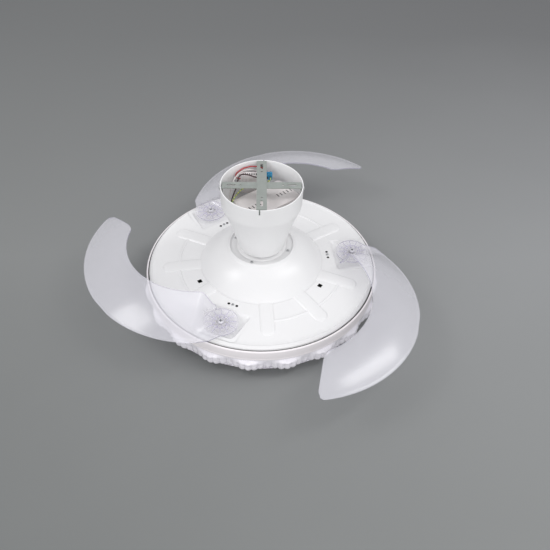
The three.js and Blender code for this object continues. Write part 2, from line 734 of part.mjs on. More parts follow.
// Two blocks under a pocket, which an arm's lever meets when its blade is folded or wide open.
function bladeStops(azimuth) {
  const innerCorner = Math.hypot(stopRadius - stopSize / 2, stopSize / 2);
  const leverHalf = Math.asin(leverWidth / 2 / innerCorner);
  const stopHalf = Math.asin(stopSize / 2 / innerCorner);
  const apart = THREE.MathUtils.radToDeg(leverHalf + stopHalf) + stopClearance;
  const top = -pocketFloor - discThickness / 2;
  const bottom = armPlateTop - armPlateHeight;
  return [leverAzimuth - apart, leverAzimuth + widestOpen + apart].map((turn) => {
    const block = box(stopSize, stopSize, top - bottom, [0, 0, (top + bottom) / 2]);
    const round = placed(block, polar(stopRadius, turn), turn);
    return placed(round, polar(pivotRadius, azimuth), azimuth - 90);
  });
}

// The raised ribs between two blades, as tall columns that the disc's section then trims.
function sectorRibs(middle) {
  const ribs = [];
  const from = domeFootRadius + ribGap;
  const to = pivotRadius + ribReach;
  for (const turn of [-ribStep, 0, ribStep]) {
    const bar = raised(roundBar(to - from, ribWidth), -aboveDisc, aboveDisc, 4);
    ribs.push(placed(bar, polar((from + to) / 2, middle + turn), middle + turn));
  }
  const inside = pivotRadius - arcRibInset - arcRibWidth / 2;
  const outside = inside + arcRibWidth;
  const span = polar(2 * outside, ribStep);
  const sector = raised([[0, 0], [span.x, -span.y], [span.x, span.y]], -aboveDisc, aboveDisc);
  const arc = ring(inside, outside, -aboveDisc, aboveDisc, bigSteps).intersect(sector.rotate([0, 0, middle]));
  return [...ribs, arc];
}

function addDisc(parent) {
  const ribs = [];
  const voids = [];
  const tubs = [];
  const stops = [];
  for (let i = 0; i < bladeCount; i++) {
    const azimuth = bladeAzimuth(i);
    ribs.push(...sectorRibs(azimuth + 180 / bladeCount));
    const tub = raised(pocketOutline(discThickness), -pocketFloor - discThickness, -discThickness);
    tubs.push(tub.rotate([0, 0, azimuth]));
    voids.push(raised(pocketOutline(0), -pocketFloor, aboveDisc).rotate([0, 0, azimuth]));
    const bushHole = rod(bossRadius + runGap + bushWall + seatGap, -aboveDisc, aboveDisc, shaftSteps);
    voids.push(placed(bushHole, polar(pivotRadius, azimuth)));
    const postHole = rod(postScrewRadius + screwClearance, -aboveDisc, aboveDisc);
    voids.push(placed(postHole, polar(holeCircle, azimuth)));
    stops.push(...bladeStops(azimuth));
    for (const side of [-1, 1]) {
      const hole = rod(pairHoleRadius, -aboveDisc, aboveDisc);
      voids.push(hole.translate([holeCircle, side * pairHoleSpread, 0]).rotate([0, 0, azimuth]));
    }
    const square = box(squareHole, squareHole, 2 * aboveDisc);
    const squareAt = azimuth + squareHoleAzimuth;
    voids.push(placed(square, polar(holeCircle, squareAt), squareAt));
  }
  const raisedRibs = join(...ribs).intersect(discSection(ribHeight));
  const body = cut(join(discSection(0), raisedRibs, ...tubs), ...voids);
  piece(parent, "rotor_disc", join(body, ...stops), "whitePlastic");
}

// ---------- Blades ----------

// A point of a blade's edge, in the folded blade's frame: its origin is the pivot, +Y away from the axis.
function edgePoint(edge, rise, u) {
  const azimuth = degrees(THREE.MathUtils.lerp(edge.from, edge.to, u));
  const x = edge.radius * Math.cos(azimuth) + edge.middle[0];
  const y = edge.radius * Math.sin(azimuth) + edge.middle[1];
  const z = rise[0] + rise[1] * u + rise[2] * u * u;
  return new THREE.Vector3(x, y, z);
}

// The blade's middle surface: u runs from root to tip, v from the outer to the inner edge.
function bladePoint(u, v) {
  const point = edgePoint(outerEdge, outerEdgeRise, u).lerp(edgePoint(innerEdge, innerEdgeRise, u), v);
  point.z += 4 * bladeCamber * v * (1 - v);
  point.z = THREE.MathUtils.lerp(hubHeight, point.z, smooth(u / rootRise));
  return point;
}

function bladeSheet() {
  const rows = [];
  const rootSteps = 4;
  const lengthSteps = 14;
  for (let i = 0; i < rootSteps; i++) rows.push((rootRise * i) / rootSteps);
  for (let i = 0; i <= lengthSteps; i++) rows.push(rootRise + ((1 - rootRise) * i) / lengthSteps);
  const widthSteps = 4;
  const points = [];
  const faces = [];
  for (const side of [1, -1]) {
    for (const u of rows) {
      for (let j = 0; j <= widthSteps; j++) {
        const p = bladePoint(u, j / widthSteps);
        points.push(p.x, p.y, p.z + (side * bladeThickness) / 2);
      }
    }
  }
  const across = widthSteps + 1;
  const underside = rows.length * across;
  const quad = (a, b, c, d) => faces.push(a, b, c, a, c, d);
  for (let i = 0; i < rows.length - 1; i++) {
    for (let j = 0; j < widthSteps; j++) {
      const a = i * across + j;
      const b = a + across;
      quad(a, b, b + 1, a + 1);
      quad(underside + a, underside + a + 1, underside + b + 1, underside + b);
    }
    const first = i * across;
    const last = first + widthSteps;
    quad(first, underside + first, underside + first + across, first + across);
    quad(last, last + across, underside + last + across, underside + last);
  }
  const tip = (rows.length - 1) * across;
  for (let j = 0; j < widthSteps; j++) {
    quad(j, j + 1, underside + j + 1, underside + j);
    quad(tip + j, underside + tip + j, underside + tip + j + 1, tip + j + 1);
  }
  const geometry = new THREE.BufferGeometry();
  geometry.setAttribute("position", new THREE.Float32BufferAttribute(points, 3));
  geometry.setIndex(faces);
  return solid(geometry);
}

function bladeBody() {
  const hubBottom = hubHeight - hubThickness / 2;
  const hub = rod(hubRadius, hubBottom, hubBottom + hubThickness, motorSteps);
  const hubTop = hubBottom + hubThickness;
  const outline = [bladePoint(0, 0), bladePoint(0, 1), ...hubCorners.map((a) => polar(hubRadius, a))];
  const web = raised(outline.map((p) => [p.x, p.y]), hubBottom, hubTop);
  const hole = rod(bladeScrewRadius + screwClearance, hubBottom - past, hubTop + past);
  const headRoom = rod((headShare + 1) * bladeScrewRadius, hubTop, hubTop + innerEdgeRise[0]);
  return cut(join(bladeSheet(), hub, web), hole, headRoom);
}

// A wound spring round the bush. Its long leg runs on from the top turn to the spring post.
class SpringPath extends THREE.Curve {
  constructor() {
    super();
    this.radius = bossRadius + runGap + bushWall + springClearance + springWire;
    this.hook = new THREE.Vector3(postRadius + springWire + seatGap, holeCircle - pivotRadius, 0);
    this.turn = Math.PI * 2 * springTurns;
    const reach = Math.hypot(this.hook.x, this.hook.y);
    this.legEnd = Math.atan2(this.hook.y, this.hook.x) + Math.acos(this.radius / reach);
    this.longLeg = Math.sqrt(reach ** 2 - this.radius ** 2);
    this.wound = this.radius * this.turn;
    this.total = springLeg + this.wound + this.longLeg;
  }

  getPoint(t, target = new THREE.Vector3()) {
    const along = t * this.total - springLeg;
    const onCoil = THREE.MathUtils.clamp(along / this.wound, 0, 1);
    const beyond = along - onCoil * this.wound;
    const angle = this.legEnd + (onCoil - 1) * -this.turn;
    target.set(Math.cos(angle), Math.sin(angle), 0).multiplyScalar(this.radius);
    target.x += beyond * Math.sin(angle);
    target.y -= beyond * Math.cos(angle);
    target.z = springPitch * springTurns * onCoil;
    return target;
  }
}

// The moulded arm under a blade: a boss that turns in the bush, and a plate with the lever for the stops.
function bladeArm() {
  const plateBottom = armPlateTop - armPlateHeight;
  const bossTop = hubHeight - hubThickness / 2 - seatGap;
  const plate = rod(armPlateRadius, plateBottom, armPlateTop, shaftSteps);
  const leverMiddle = [leverReach / 2, 0, armPlateTop - armPlateHeight / 2];
  const lever = box(leverReach, leverWidth, armPlateHeight, leverMiddle);
  const boss = rod(bossRadius, plateBottom, bossTop, shaftSteps);
  const bore = rod(bladeScrewRadius + screwClearance, plateBottom - past, bossTop + past);
  return cut(join(plate, lever.rotate([0, 0, leverAzimuth]), boss), bore);
}

function addBlade(parent, i) {
  const azimuth = bladeAzimuth(i);
  const number = i + 1;
  const pivot = group(parent, polar(pivotRadius, azimuth), azimuth - 90);
  const arm = group(pivot, new THREE.Vector3(), openAngles[i]);
  piece(arm, `blade_${number}`, bladeBody(), "clearPlastic");
  piece(arm, `blade_arm_${number}`, bladeArm(), "nylon");
  const screwBody = screw(bladeScrewRadius, bladeScrewLength);
  const bladeScrew = piece(arm, `blade_screw_${number}`, screwBody, "screwSteel");
  bladeScrew.position.z = hubHeight + hubThickness / 2 + seatGap;

  const bushInner = bossRadius + runGap;
  const bushOuter = bushInner + bushWall;
  const bushBottom = armPlateTop + runGap;
  const flangeBottom = -pocketFloor + seatGap;
  const flangeTop = flangeBottom + bushFlangeHeight;
  const bushProfile = [
    [bushInner, bushBottom], [bushOuter, bushBottom], [bushOuter, flangeBottom],
    [bushFlangeRadius, flangeBottom], [bushFlangeRadius, flangeTop], [bushInner, flangeTop],
  ];
  piece(pivot, `pivot_bush_${number}`, turned(bushProfile, shaftSteps), "nylon");

  const springBody = swept(new SpringPath(), springWire, 5, 28);
  const spring = piece(pivot, `return_spring_${number}`, springBody, "screwSteel");
  spring.position.z = armPlateTop + seatGap + 2 * springWire;
}

function addSpringPost(parent, i) {
  const post = group(parent, polar(holeCircle, bladeAzimuth(i)));
  const top = -discThickness - seatGap;
  const bottom = top - postHeight;
  const body = join(rod(postRadius, bottom, top), rod(postFlangeRadius, bottom, bottom + postFlangeHeight));
  const bore = rod(postScrewRadius + screwClearance, bottom - past, top + past);
  piece(post, `spring_post_${i + 1}`, cut(body, bore), "nylon");
  const postScrew = piece(post, `post_screw_${i + 1}`, screw(postScrewRadius, postScrewLength), "screwSteel");
  postScrew.position.z = seatGap;
}

// ---------- Rim, tray, lamp board and shade ----------

function addRimAndTray(parent) {
  const footBottom = trayTop + seatGap;
  const footTop = footBottom + rimFootHeight;
  const profile = [
    [rimInner - rimFoot, footBottom], [rimInner, footBottom], [rimInner, rimBottom], [bodyRadius, rimBottom],
    [bodyRadius, rimTop - rimBevel[1]], [bodyRadius - rimBevel[0], rimTop], [rimInner, rimTop],
    [rimInner, footTop], [rimInner - rimFoot, footTop],
  ];
  piece(parent, "outer_rim", turned(profile, bigSteps), "whitePlastic");
  const tray = ring(shaftRadius + seatGap, rimInner - 2 * seatGap, trayBottom, trayTop, bigSteps);
  piece(parent, "light_tray", tray, "darkSteel");
  const boardTop = trayBottom - seatGap;
  const boardOuter = shadeRingRadius - shadeRingWall - lampBoardGap;
  const boardBottom = boardTop - lampBoardThickness;
  const lampBoard = ring(lampBoardInner, boardOuter, boardBottom, boardTop, motorSteps);
  piece(parent, "lamp_board", lampBoard, "board");
}

function addShadeRing(parent) {
  const top = trayBottom - seatGap;
  const outer = shadeRingRadius;
  const lipBottom = shadeTop - shadeWall;
  const footTop = lipBottom - seatGap;
  const bottom = Math.min(top - shadeRingHeight, footTop - shadeRingFootHeight);
  const profile = [
    [outer - shadeRingWall, bottom], [outer + shadeRingFoot, bottom], [outer + shadeRingFoot, footTop],
    [outer, footTop], [outer, top], [outer - shadeRingWall, top],
  ];
  piece(parent, "shade_ring", turned(profile, midSteps), "whitePlastic");
}

function addShade(parent) {
  const lip = shadeRingRadius + shadeLipClearance;
  const outer = bodyRadius - shadeInset;
  const wallInner = outer - shadeTurn[0] - seatGap;
  const floor = shadeTop - shadeHeight;
  const [wideFrom, wideTo] = shadeWidest;
  const profile = [
    [0, floor + shadeWall], [outer * shadeFloorShare, floor + shadeWall + shadeFloorRise],
    [wallInner, shadeTop - shadeInside], [wallInner, shadeTop - shadeWall], [lip, shadeTop - shadeWall],
    [lip, shadeTop], [outer, shadeTop], [outer + shadeBulge, shadeTop - wideFrom],
    [outer + shadeBulge, shadeTop - wideTo], [outer - shadeTurn[0], shadeTop - shadeTurn[1]],
    [outer * shadeFloorShare, floor + shadeFloorRise], [0, floor],
  ];
  const path = profile.map(([r, z]) => new THREE.Vector2(r, z));
  const geometry = new THREE.LatheGeometry(path, shadeLobes * lobeSteps).rotateX(Math.PI / 2);
  const position = geometry.getAttribute("position");
  for (let i = 0; i < position.count; i++) {
    const p = new THREE.Vector3().fromBufferAttribute(position, i);
    const radius = Math.hypot(p.x, p.y);
    const azimuth = Math.atan2(p.y, p.x) - degrees(shadeLobeAzimuth);
    const lobe = Math.cos(shadeLobes * azimuth) * shadeLobeDepth;
    const swell = radius > wallInner ? smooth((shadeTop - p.z) / wideFrom) : 0;
    const grown = radius > 0 ? 1 + (lobe * swell) / radius : 1;
    position.setXY(i, p.x * grown, p.y * grown);
  }
  piece(parent, "scalloped_shade", solid(geometry), "frosted");
}

// ---------- Assembly ----------

const fan = new THREE.Group();

const ceilingEnd = group(fan);
addBracket(ceilingEnd);
addCup(ceilingEnd);
addReceiver(ceilingEnd);
addDriver(ceilingEnd);
addConnectorAndWires(ceilingEnd);
addShaft(ceilingEnd);

const motor = group(fan);
addStator(motor);
addMotorShell(motor);

const rotor = group(fan);
addDome(rotor);

const disc = group(rotor, new THREE.Vector3(0, 0, discFlat));
addDisc(disc);
for (let i = 0; i < bladeCount; i++) {
  addBlade(disc, i);
  addSpringPost(disc, i);
}

const light = group(fan);
addRimAndTray(light);
addShadeRing(light);
addShade(light);

export default fan;
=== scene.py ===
import math

import bpy
from mathutils import Matrix, Vector


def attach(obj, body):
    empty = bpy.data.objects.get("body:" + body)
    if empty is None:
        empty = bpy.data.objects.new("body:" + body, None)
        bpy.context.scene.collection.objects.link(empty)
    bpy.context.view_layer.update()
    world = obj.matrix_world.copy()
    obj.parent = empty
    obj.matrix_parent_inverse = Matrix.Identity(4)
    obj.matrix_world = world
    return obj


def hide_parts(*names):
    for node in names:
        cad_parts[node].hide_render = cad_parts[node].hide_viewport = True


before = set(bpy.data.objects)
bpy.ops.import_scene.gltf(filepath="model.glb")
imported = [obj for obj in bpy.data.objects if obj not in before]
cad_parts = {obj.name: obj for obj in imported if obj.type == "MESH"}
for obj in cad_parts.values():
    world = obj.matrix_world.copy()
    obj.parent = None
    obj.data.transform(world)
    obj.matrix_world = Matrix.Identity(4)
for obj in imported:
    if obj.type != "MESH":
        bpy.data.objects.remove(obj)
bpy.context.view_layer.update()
mm = 0.001
seat = 0.3  # mm of clearance that a piece sits with
print("frame loaded")

# shared places of the fan, in mm, as in the part's source
fan = {
    "cupMouth": 82.4,
    "cupScrewDrop": 9.0,
    "cupScrewHole": 2.35,
    "collarTop": -154.0,
    "collarRecess": 5.0,
    "collarScrews": 4,
    "collarScrewCircle": 59.0,
    "collarScrewAzimuth": 70.0,
    "discFlat": -203.8,
    "hubTop": 6.1,  # above the disc's flat
    "rimTop": -214.5,
    "rimBottom": -238.5,
    "shadeTop": -238.8,
    "bodyRadius": 250.0,
    "pivotRadius": 201.0,
    "holeCircle": 146.0,
    "bladeAzimuths": [6.5, 126.5, 246.5],
    "openAngles": [43.2, 50.2, 38.0],
}


def deselectAll():
    if bpy.context.object and bpy.context.object.mode != "OBJECT":
        bpy.ops.object.mode_set(mode="OBJECT")
    bpy.ops.object.select_all(action="DESELECT")


def makeActive(piece):
    deselectAll()
    piece.select_set(True)
    bpy.context.view_layer.objects.active = piece


def startEdit(piece, select="DESELECT"):
    makeActive(piece)
    bpy.ops.object.mode_set(mode="EDIT")
    bpy.ops.mesh.select_all(action=select)


def endEdit():
    bpy.ops.object.mode_set(mode="OBJECT")


def applyPlace(piece):
    makeActive(piece)
    bpy.ops.object.transform_apply(location=True, rotation=True, scale=True)


def addModifier(piece, kind, **settings):
    makeActive(piece)
    made = piece.modifiers.new(kind.title(), kind)
    for setting, value in settings.items():
        setattr(made, setting, value)
    bpy.ops.object.modifier_apply(modifier=made.name)


def softenEdges(piece, width, segments=2, angle=30):
    addModifier(
        piece, "BEVEL", width=width * mm, segments=segments, limit_method="ANGLE",
        angle_limit=math.radians(angle), harden_normals=False,
    )


def closeUp(piece):
    # points that are this near become one, then all faces turn outwards
    near = 0.004
    startEdit(piece, "SELECT")
    bpy.ops.mesh.remove_doubles(threshold=near * mm)
    bpy.ops.mesh.normals_make_consistent(inside=False)
    endEdit()


def selectFaces(piece, test):
    # called in object mode; the chosen faces stay selected for the next edit
    startEdit(piece)
    bpy.ops.mesh.select_mode(type="FACE")
    endEdit()
    for face in piece.data.polygons:
        face.select = bool(test(face))
    bpy.ops.object.mode_set(mode="EDIT")


def selectEdges(piece, test):
    startEdit(piece)
    bpy.ops.mesh.select_mode(type="EDGE")
    endEdit()
    points = piece.data.vertices
    for edge in piece.data.edges:
        ends = [points[i].co for i in edge.vertices]
        edge.select = bool(test(*ends))
    bpy.ops.object.mode_set(mode="EDIT")


def turnedPiece(name, profile, steps):
    # a profile of (radius, height) in mm, drawn out from a circle ring by ring; none shrinks to nothing
    thin = 0.0005
    radius, height = profile[0]
    radius = max(radius, thin)
    deselectAll()
    bpy.ops.mesh.primitive_circle_add(
        vertices=steps, radius=radius * mm, location=(0, 0, height * mm)
    )
    piece = bpy.context.object
    piece.name = name
    applyPlace(piece)
    startEdit(piece, "SELECT")
    for nextRadius, nextHeight in profile[1:]:
        nextRadius = max(nextRadius, thin)
        rise = {"value": (0, 0, (nextHeight - height) * mm)}
        bpy.ops.mesh.extrude_edges_move(TRANSFORM_OT_translate=rise)
        share = nextRadius / radius
        bpy.ops.transform.resize(value=(share, share, 1), center_override=(0, 0, 0))
        radius, height = nextRadius, nextHeight
    endEdit()
    closeUp(piece)
    return piece


def roundedBlock(name, size, corner=0, middle=(0, 0, 0), cornerSteps=5):
    # a box in mm with rounded upright corners
    deselectAll()
    bpy.ops.mesh.primitive_cube_add(size=1, location=[c * mm for c in middle])
    block = bpy.context.object
    block.name = name
    block.scale = [s * mm for s in size]
    applyPlace(block)
    if corner:
        selectEdges(block, lambda a, b: abs(a.z - b.z) > 0.5 * size[2] * mm)
        bpy.ops.mesh.bevel(offset=corner * mm, segments=cornerSteps, affect="EDGES")
        endEdit()
    return block


def roundBar(name, length, width, reach):
    # an upright slot form along X with round ends
    steps = 24
    radius, turn = width / 2 * mm, (0, 0, math.pi / steps)
    deselectAll()
    bpy.ops.mesh.primitive_cylinder_add(vertices=steps, radius=radius, depth=2 * reach * mm, rotation=turn)
    bar = bpy.context.object
    bar.name = name
    applyPlace(bar)
    for point in bar.data.vertices:
        point.co.x += math.copysign((length - width) / 2 * mm, point.co.x)
    return bar


def rod(name, radius, bottom, top, place=(0, 0), steps=24):
    deselectAll()
    bpy.ops.mesh.primitive_cylinder_add(
        vertices=steps, radius=radius * mm, depth=(top - bottom) * mm,
        location=(place[0] * mm, place[1] * mm, (top + bottom) / 2 * mm),
    )
    made = bpy.context.object
    made.name = name
    applyPlace(made)
    return made


def joined(*pieces):
    makeActive(pieces[0])
    for piece in pieces[1:]:
        piece.select_set(True)
    if len(pieces) > 1:
        bpy.ops.object.join()
    return pieces[0]


def combine(piece, operation, *others):
    several = len(others) > 1
    other = joined(*others)
    settings = {"operation": operation, "solver": "EXACT", "use_self": several, "object": other}
    addModifier(piece, "BOOLEAN", **settings)
    bpy.data.objects.remove(other)
    return piece


def cutOut(piece, *cutters):
    return combine(piece, "DIFFERENCE", *cutters)


def copyOf(piece, name):
    made = piece.copy()
    made.data = piece.data.copy()
    made.name = name
    bpy.context.collection.objects.link(made)
    return made


def moved(piece, matrix):
    piece.data.transform(matrix)
    piece.data.update()
    return piece


def spot(radius, azimuth, height=0.0):
    turn = math.radians(azimuth)
    return Vector((radius * math.cos(turn), radius * math.sin(turn), height))


def placedAt(place, azimuth=0.0):
    # a move in mm after a turn about Z in degrees
    return Matrix.Translation(Vector(place) * mm) @ Matrix.Rotation(math.radians(azimuth), 4, "Z")


def lerp(a, b, share):
    return a + (b - a) * share


def smooth(x):
    x = min(max(x, 0.0), 1.0)
    return x * x * (3 - 2 * x)


def wear(piece, *finishes):
    piece.data.materials.clear()
    for finish in finishes:
        piece.data.materials.append(finish.material)


def offAxis(point):
    # distance from the Z axis, in mm
    return math.hypot(point.x, point.y) / mm


def coatFaces(piece, finish, otherFinish, test):
    # two finishes on one piece, the second on the faces that the test picks
    wear(piece, finish, otherFinish)
    for face in piece.data.polygons:
        face.material_index = int(test(face))


def nearAny(face, places, reach):
    # whether an upright face lies within a reach, in mm, of one of the places
    if abs(face.normal.z) > 0.5:
        return False
    x, y = face.center.x / mm, face.center.y / mm
    return any(abs(x - place[0]) < reach[0] and abs(y - place[1]) < reach[1] for place in places)


def finishPiece(piece, body, nodes, slot, *finishes, angle=30):
    if finishes:
        wear(piece, *finishes)
    makeActive(piece)
    bpy.ops.object.shade_smooth_by_angle(angle=math.radians(angle))
    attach(piece, body)
    if nodes:
        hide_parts(*nodes)
    return piece


class Wire:
    # one socket of a material, so that sums and products read as such
    def __init__(self, finish, socket):
        self.finish = finish
        self.socket = socket

    def sum(self, operation, first, second):
        return self.finish.node("ShaderNodeMath", {"operation": operation}, {0: first, 1: second})

    def __add__(self, other):
        return self.sum("ADD", self, other)

    def __rsub__(self, other):
        return self.sum("SUBTRACT", other, self)

    def __mul__(self, other):
        return self.sum("MULTIPLY", self, other)

    def __gt__(self, other):
        return self.sum("GREATER_THAN", self, other)


class Finish:
    def __init__(self, name, **fixed):
        self.material = bpy.data.materials.new(name)
        self.material.use_nodes = True
        self.tree = self.material.node_tree
        self.shader = self.tree.nodes["Principled BSDF"]
        for socket, value in fixed.items():
            self.shader.inputs[socket.replace("_", " ")].default_value = value
        self.place = self.node("ShaderNodeTexCoord", {}, {}, "Object")

    def node(self, kind, settings, sockets, output=0):
        made = self.tree.nodes.new(kind)
        for setting, value in settings.items():
            if setting == "stops":
                ramp = made.color_ramp
                while len(ramp.elements) < len(value):
                    ramp.elements.new(0.5)
                for element, (position, tone) in zip(ramp.elements, value):
                    element.position = position
                    element.color = tone
            else:
                setattr(made, setting, value)
        for socket, value in sockets.items():
            if isinstance(value, Wire):
                self.tree.links.new(value.socket, made.inputs[socket])
            else:
                made.inputs[socket].default_value = value
        return Wire(self, made.outputs[output])

    def stretched(self, scale):
        return self.node("ShaderNodeMapping", {}, {"Vector": self.place, "Scale": scale})

    def noise(self, scale, detail=3.0, place=None):
        sockets = {"Vector": place or self.place, "Scale": scale, "Detail": detail}
        return self.node("ShaderNodeTexNoise", {}, sockets, "Fac")

    def cells(self, scale):
        sockets = {"Vector": self.place, "Scale": scale}
        return self.node("ShaderNodeTexVoronoi", {}, sockets, "Distance")

    def ramp(self, value, stops):
        return self.node("ShaderNodeValToRGB", {"stops": stops}, {0: value}, "Color")

    def spread(self, value, low, high):
        # 0 at the low value to 1 at the high one, and no further
        sockets = {0: value, 1: low, 2: high, 3: 0.0, 4: 1.0}
        return self.node("ShaderNodeMapRange", {"clamp": True}, sockets)

    def between(self, share, low, high):
        # the share's 0 to 1 spread over low to high
        return share * (high - low) + low

    def mixed(self, share, first, second):
        settings = {"data_type": "RGBA"}
        return self.node("ShaderNodeMix", settings, {0: share, 6: first, 7: second}, 2)

    def sides(self, axis):
        return self.node("ShaderNodeSeparateXYZ", {}, {0: self.place}, axis)

    def round(self):
        # the angle about the fan's axis, in radians
        return self.node(
            "ShaderNodeMath", {"operation": "ARCTAN2"}, {0: self.sides("Y"), 1: self.sides("X")}
        )

    def wave(self, angle):
        return self.node("ShaderNodeMath", {"operation": "SINE"}, {0: angle})

    def feed(self, socket, value):
        self.tree.links.new(value.socket, self.shader.inputs[socket])

    def bump(self, height, distance, strength):
        sockets = {"Strength": strength, "Distance": distance * mm, "Height": height}
        self.feed("Normal", self.node("ShaderNodeBump", {}, sockets, "Normal"))


def paintedWhite(name, tone, roughness, peel, dust):
    # sprayed or moulded white: orange peel, slight cloudiness and a little dust that dulls it
    paint = Finish(name, Coat_Weight=0.15, Coat_Roughness=0.2)
    cloud = paint.noise(9, 2)
    grime = paint.noise(60, 4)
    warm = [tone[0] * dust, tone[1] * dust * 0.995, tone[2] * dust * 0.985, 1]
    paint.feed("Base Color", paint.mixed(cloud * 0.6 + grime * 0.3, [*tone, 1], warm))
    paint.feed("Roughness", paint.between(grime, roughness - 0.06, roughness + 0.08))
    paint.bump(paint.noise(900, 2) * 0.4 + paint.noise(350, 1), peel, 0.35)
    return paint


def makeZinc():
    # passivated zinc: greenish grey with spangle and rolling lines
    zinc = Finish("passivatedZinc")
    grain = zinc.noise(500, 3, zinc.stretched((1, 0.08, 1)))
    spangle = zinc.cells(260)
    patch = zinc.noise(45, 4)
    dull = zinc.mixed(patch, (0.33, 0.36, 0.33, 1), (0.46, 0.49, 0.46, 1))
    zinc.feed("Base Color", zinc.mixed(spangle * 0.25, dull, (0.52, 0.56, 0.54, 1)))
    zinc.feed("Roughness", zinc.between(patch, 0.38, 0.6))
    zinc.feed("Metallic", zinc.between(zinc.noise(30, 2), 0.55, 0.85))
    zinc.bump(grain, 0.03, 0.4)
    return zinc


def makeSteel(name, tone, rough):
    steel = Finish(name)
    turned = steel.noise(1800, 2, steel.stretched((1, 1, 0.1)))
    stain = steel.noise(220, 4)
    steel.feed("Base Color", steel.mixed(stain, [*tone, 1], [*[t * 0.78 for t in tone], 1]))
    steel.feed("Roughness", steel.between(stain, rough - 0.08, rough + 0.12))
    steel.feed("Metallic", steel.between(turned, 0.8, 0.95))
    steel.bump(turned, 0.02, 0.3)
    return steel


def makeClear(name, tone, alpha, rough):
    # clear moulded plastic, a little lavender, with faint flow lines and fine scuffs
    clear = Finish(name, IOR=1.5, Coat_Roughness=0.16, Specular_IOR_Level=0.6)
    flow = clear.noise(14, 2, clear.stretched((1, 1, 3)))
    scuff = clear.noise(700, 3)
    clear.feed("Base Color", clear.mixed(flow, [*tone, 1], [*[t * 0.95 for t in tone], 1]))
    clear.feed("Roughness", clear.between(scuff, rough, rough + 0.08))
    clear.feed("Coat Weight", clear.between(flow, 0.75, 1.0))
    clear.feed("Alpha", clear.between(flow, alpha - 0.03, alpha + 0.03))
    clear.bump(flow, 0.12, 0.25)
    return clear


def makeFrosted():
    # pressed crystal-like acrylic: fine flutes round the side, small facets towards the lower edge
    frosted = Finish("frostedCrystal", IOR=1.49, Coat_Roughness=0.12, Transmission_Weight=0.05)
    angle = frosted.round()
    height = frosted.sides("Z")
    flutes = frosted.wave(angle * 360)
    below = frosted.spread(height, (fan["shadeTop"] - 10) * mm, (fan["shadeTop"] - 26) * mm)
    facets = frosted.cells(150)
    milk = frosted.noise(30, 3)
    frosted.feed("Base Color", frosted.mixed(milk, (0.93, 0.90, 0.97, 1), (0.97, 0.95, 0.99, 1)))
    frosted.feed("Roughness", frosted.between(frosted.noise(500, 2), 0.22, 0.42))
    frosted.feed("Coat Weight", frosted.between(milk, 0.4, 0.8))
    frosted.bump(flutes * 0.2 * (1 - below * 0.6) + facets * (below + 0.3) * 3.5, 1.0, 0.6)
    return frosted


def makePlastic(name, tone, rough, grain=0.05):
    plastic = Finish(name)
    cloud = plastic.noise(80, 3)
    darker = [*[t * 0.86 for t in tone], 1]
    plastic.feed("Base Color", plastic.mixed(cloud, [*tone, 1], darker))
    plastic.feed("Roughness", plastic.between(cloud, rough - 0.05, rough + 0.1))
    plastic.bump(plastic.noise(1500, 2), grain, 0.3)
    return plastic


def makeEarthWire():
    # green and yellow, in long stripes that wind round the wire
    wire = Finish("earthWire")
    winding = wire.wave(wire.sides("X") * 700 + wire.sides("Y") * 520 + wire.sides("Z") * 610)
    tone = wire.mixed(winding > 0.1, (0.62, 0.60, 0.16, 1), (0.16, 0.30, 0.10, 1))
    wire.feed("Base Color", tone)
    wire.feed("Roughness", wire.between(wire.noise(300), 0.35, 0.5))
    return wire


def makeCopper():
    copper = Finish("windingCopper", Metallic=0.9)
    strands = copper.wave(copper.sides("Z") * 9000)
    tone = copper.mixed(strands * 0.5 + 0.5, (0.46, 0.17, 0.07, 1), (0.72, 0.36, 0.18, 1))
    copper.feed("Base Color", tone)
    copper.feed("Roughness", copper.between(copper.noise(200), 0.3, 0.5))
    copper.bump(strands, 0.1, 0.6)
    return copper


paintWhite = paintedWhite("sprayedWhite", (0.93, 0.93, 0.935), 0.42, 0.02, 0.97)
plasticWhite = paintedWhite("mouldedWhite", (0.84, 0.84, 0.845), 0.38, 0.015, 0.965)
# painted shade: a near-black finish put on the walls of the disc's holes and in the rim's deep gap
paintedHoleShade = makePlastic("paintedHoleShade", (0.02, 0.02, 0.022), 0.7)
# painted shade, near black, on the walls of vents and inside the receiver box; on the box's floor it
# stands for a dark circuit board
insideShadeAndBoard = makePlastic("insideShadeAndBoard", (0.05, 0.06, 0.05), 0.6)
boxWhite = paintedWhite("boxPlastic", (0.82, 0.775, 0.77), 0.5, 0.03, 0.93)
# painted light: a brighter, slightly pink copy of the moulded white, for light on the rim's upright band
litRimWhite = paintedWhite("litRimPlastic", (0.92, 0.88, 0.90), 0.4, 0.015, 0.97)
zinc = makeZinc()
screwSteel = makeSteel("screwSteel", (0.62, 0.63, 0.64), 0.32)
screwPlated = makeSteel("screwPlated", (0.86, 0.85, 0.90), 0.5)
# dark steel for the hidden motor parts; also painted shade in the screw recesses and on the light tray
darkSteel = makeSteel("darkSteel", (0.13, 0.135, 0.14), 0.45)
clearSheet = makeClear("clearSheet", (0.90, 0.89, 0.95), 0.33, 0.2)
clearEdge = makeClear("clearEdge", (0.52, 0.50, 0.62), 0.65, 0.12)
# painted light: a lighter, clearer copy of the sheet's plastic for the flat hub, offsetting the shadow
# under it
litClearHub = makeClear("litClearHub", (0.95, 0.93, 1.0), 0.2, 0.08)
clearRib = makeClear("clearRib", (0.70, 0.67, 0.84), 0.42, 0.1)
frostedCrystal = makeFrosted()
nylon = makePlastic("nylon", (0.88, 0.87, 0.86), 0.45)
bluePlastic = makePlastic("bluePlastic", (0.03, 0.28, 0.50), 0.35)
redWire = makePlastic("redWire", (0.50, 0.04, 0.05), 0.4)
whiteWire = makePlastic("whiteWire", (0.74, 0.70, 0.68), 0.4)
blackWire = makePlastic("blackWire", (0.05, 0.018, 0.022), 0.4)
earthWire = makeEarthWire()
copper = makeCopper()
boardWhite = makePlastic("lampBoard", (0.76, 0.77, 0.72), 0.5)
print("finishes made")


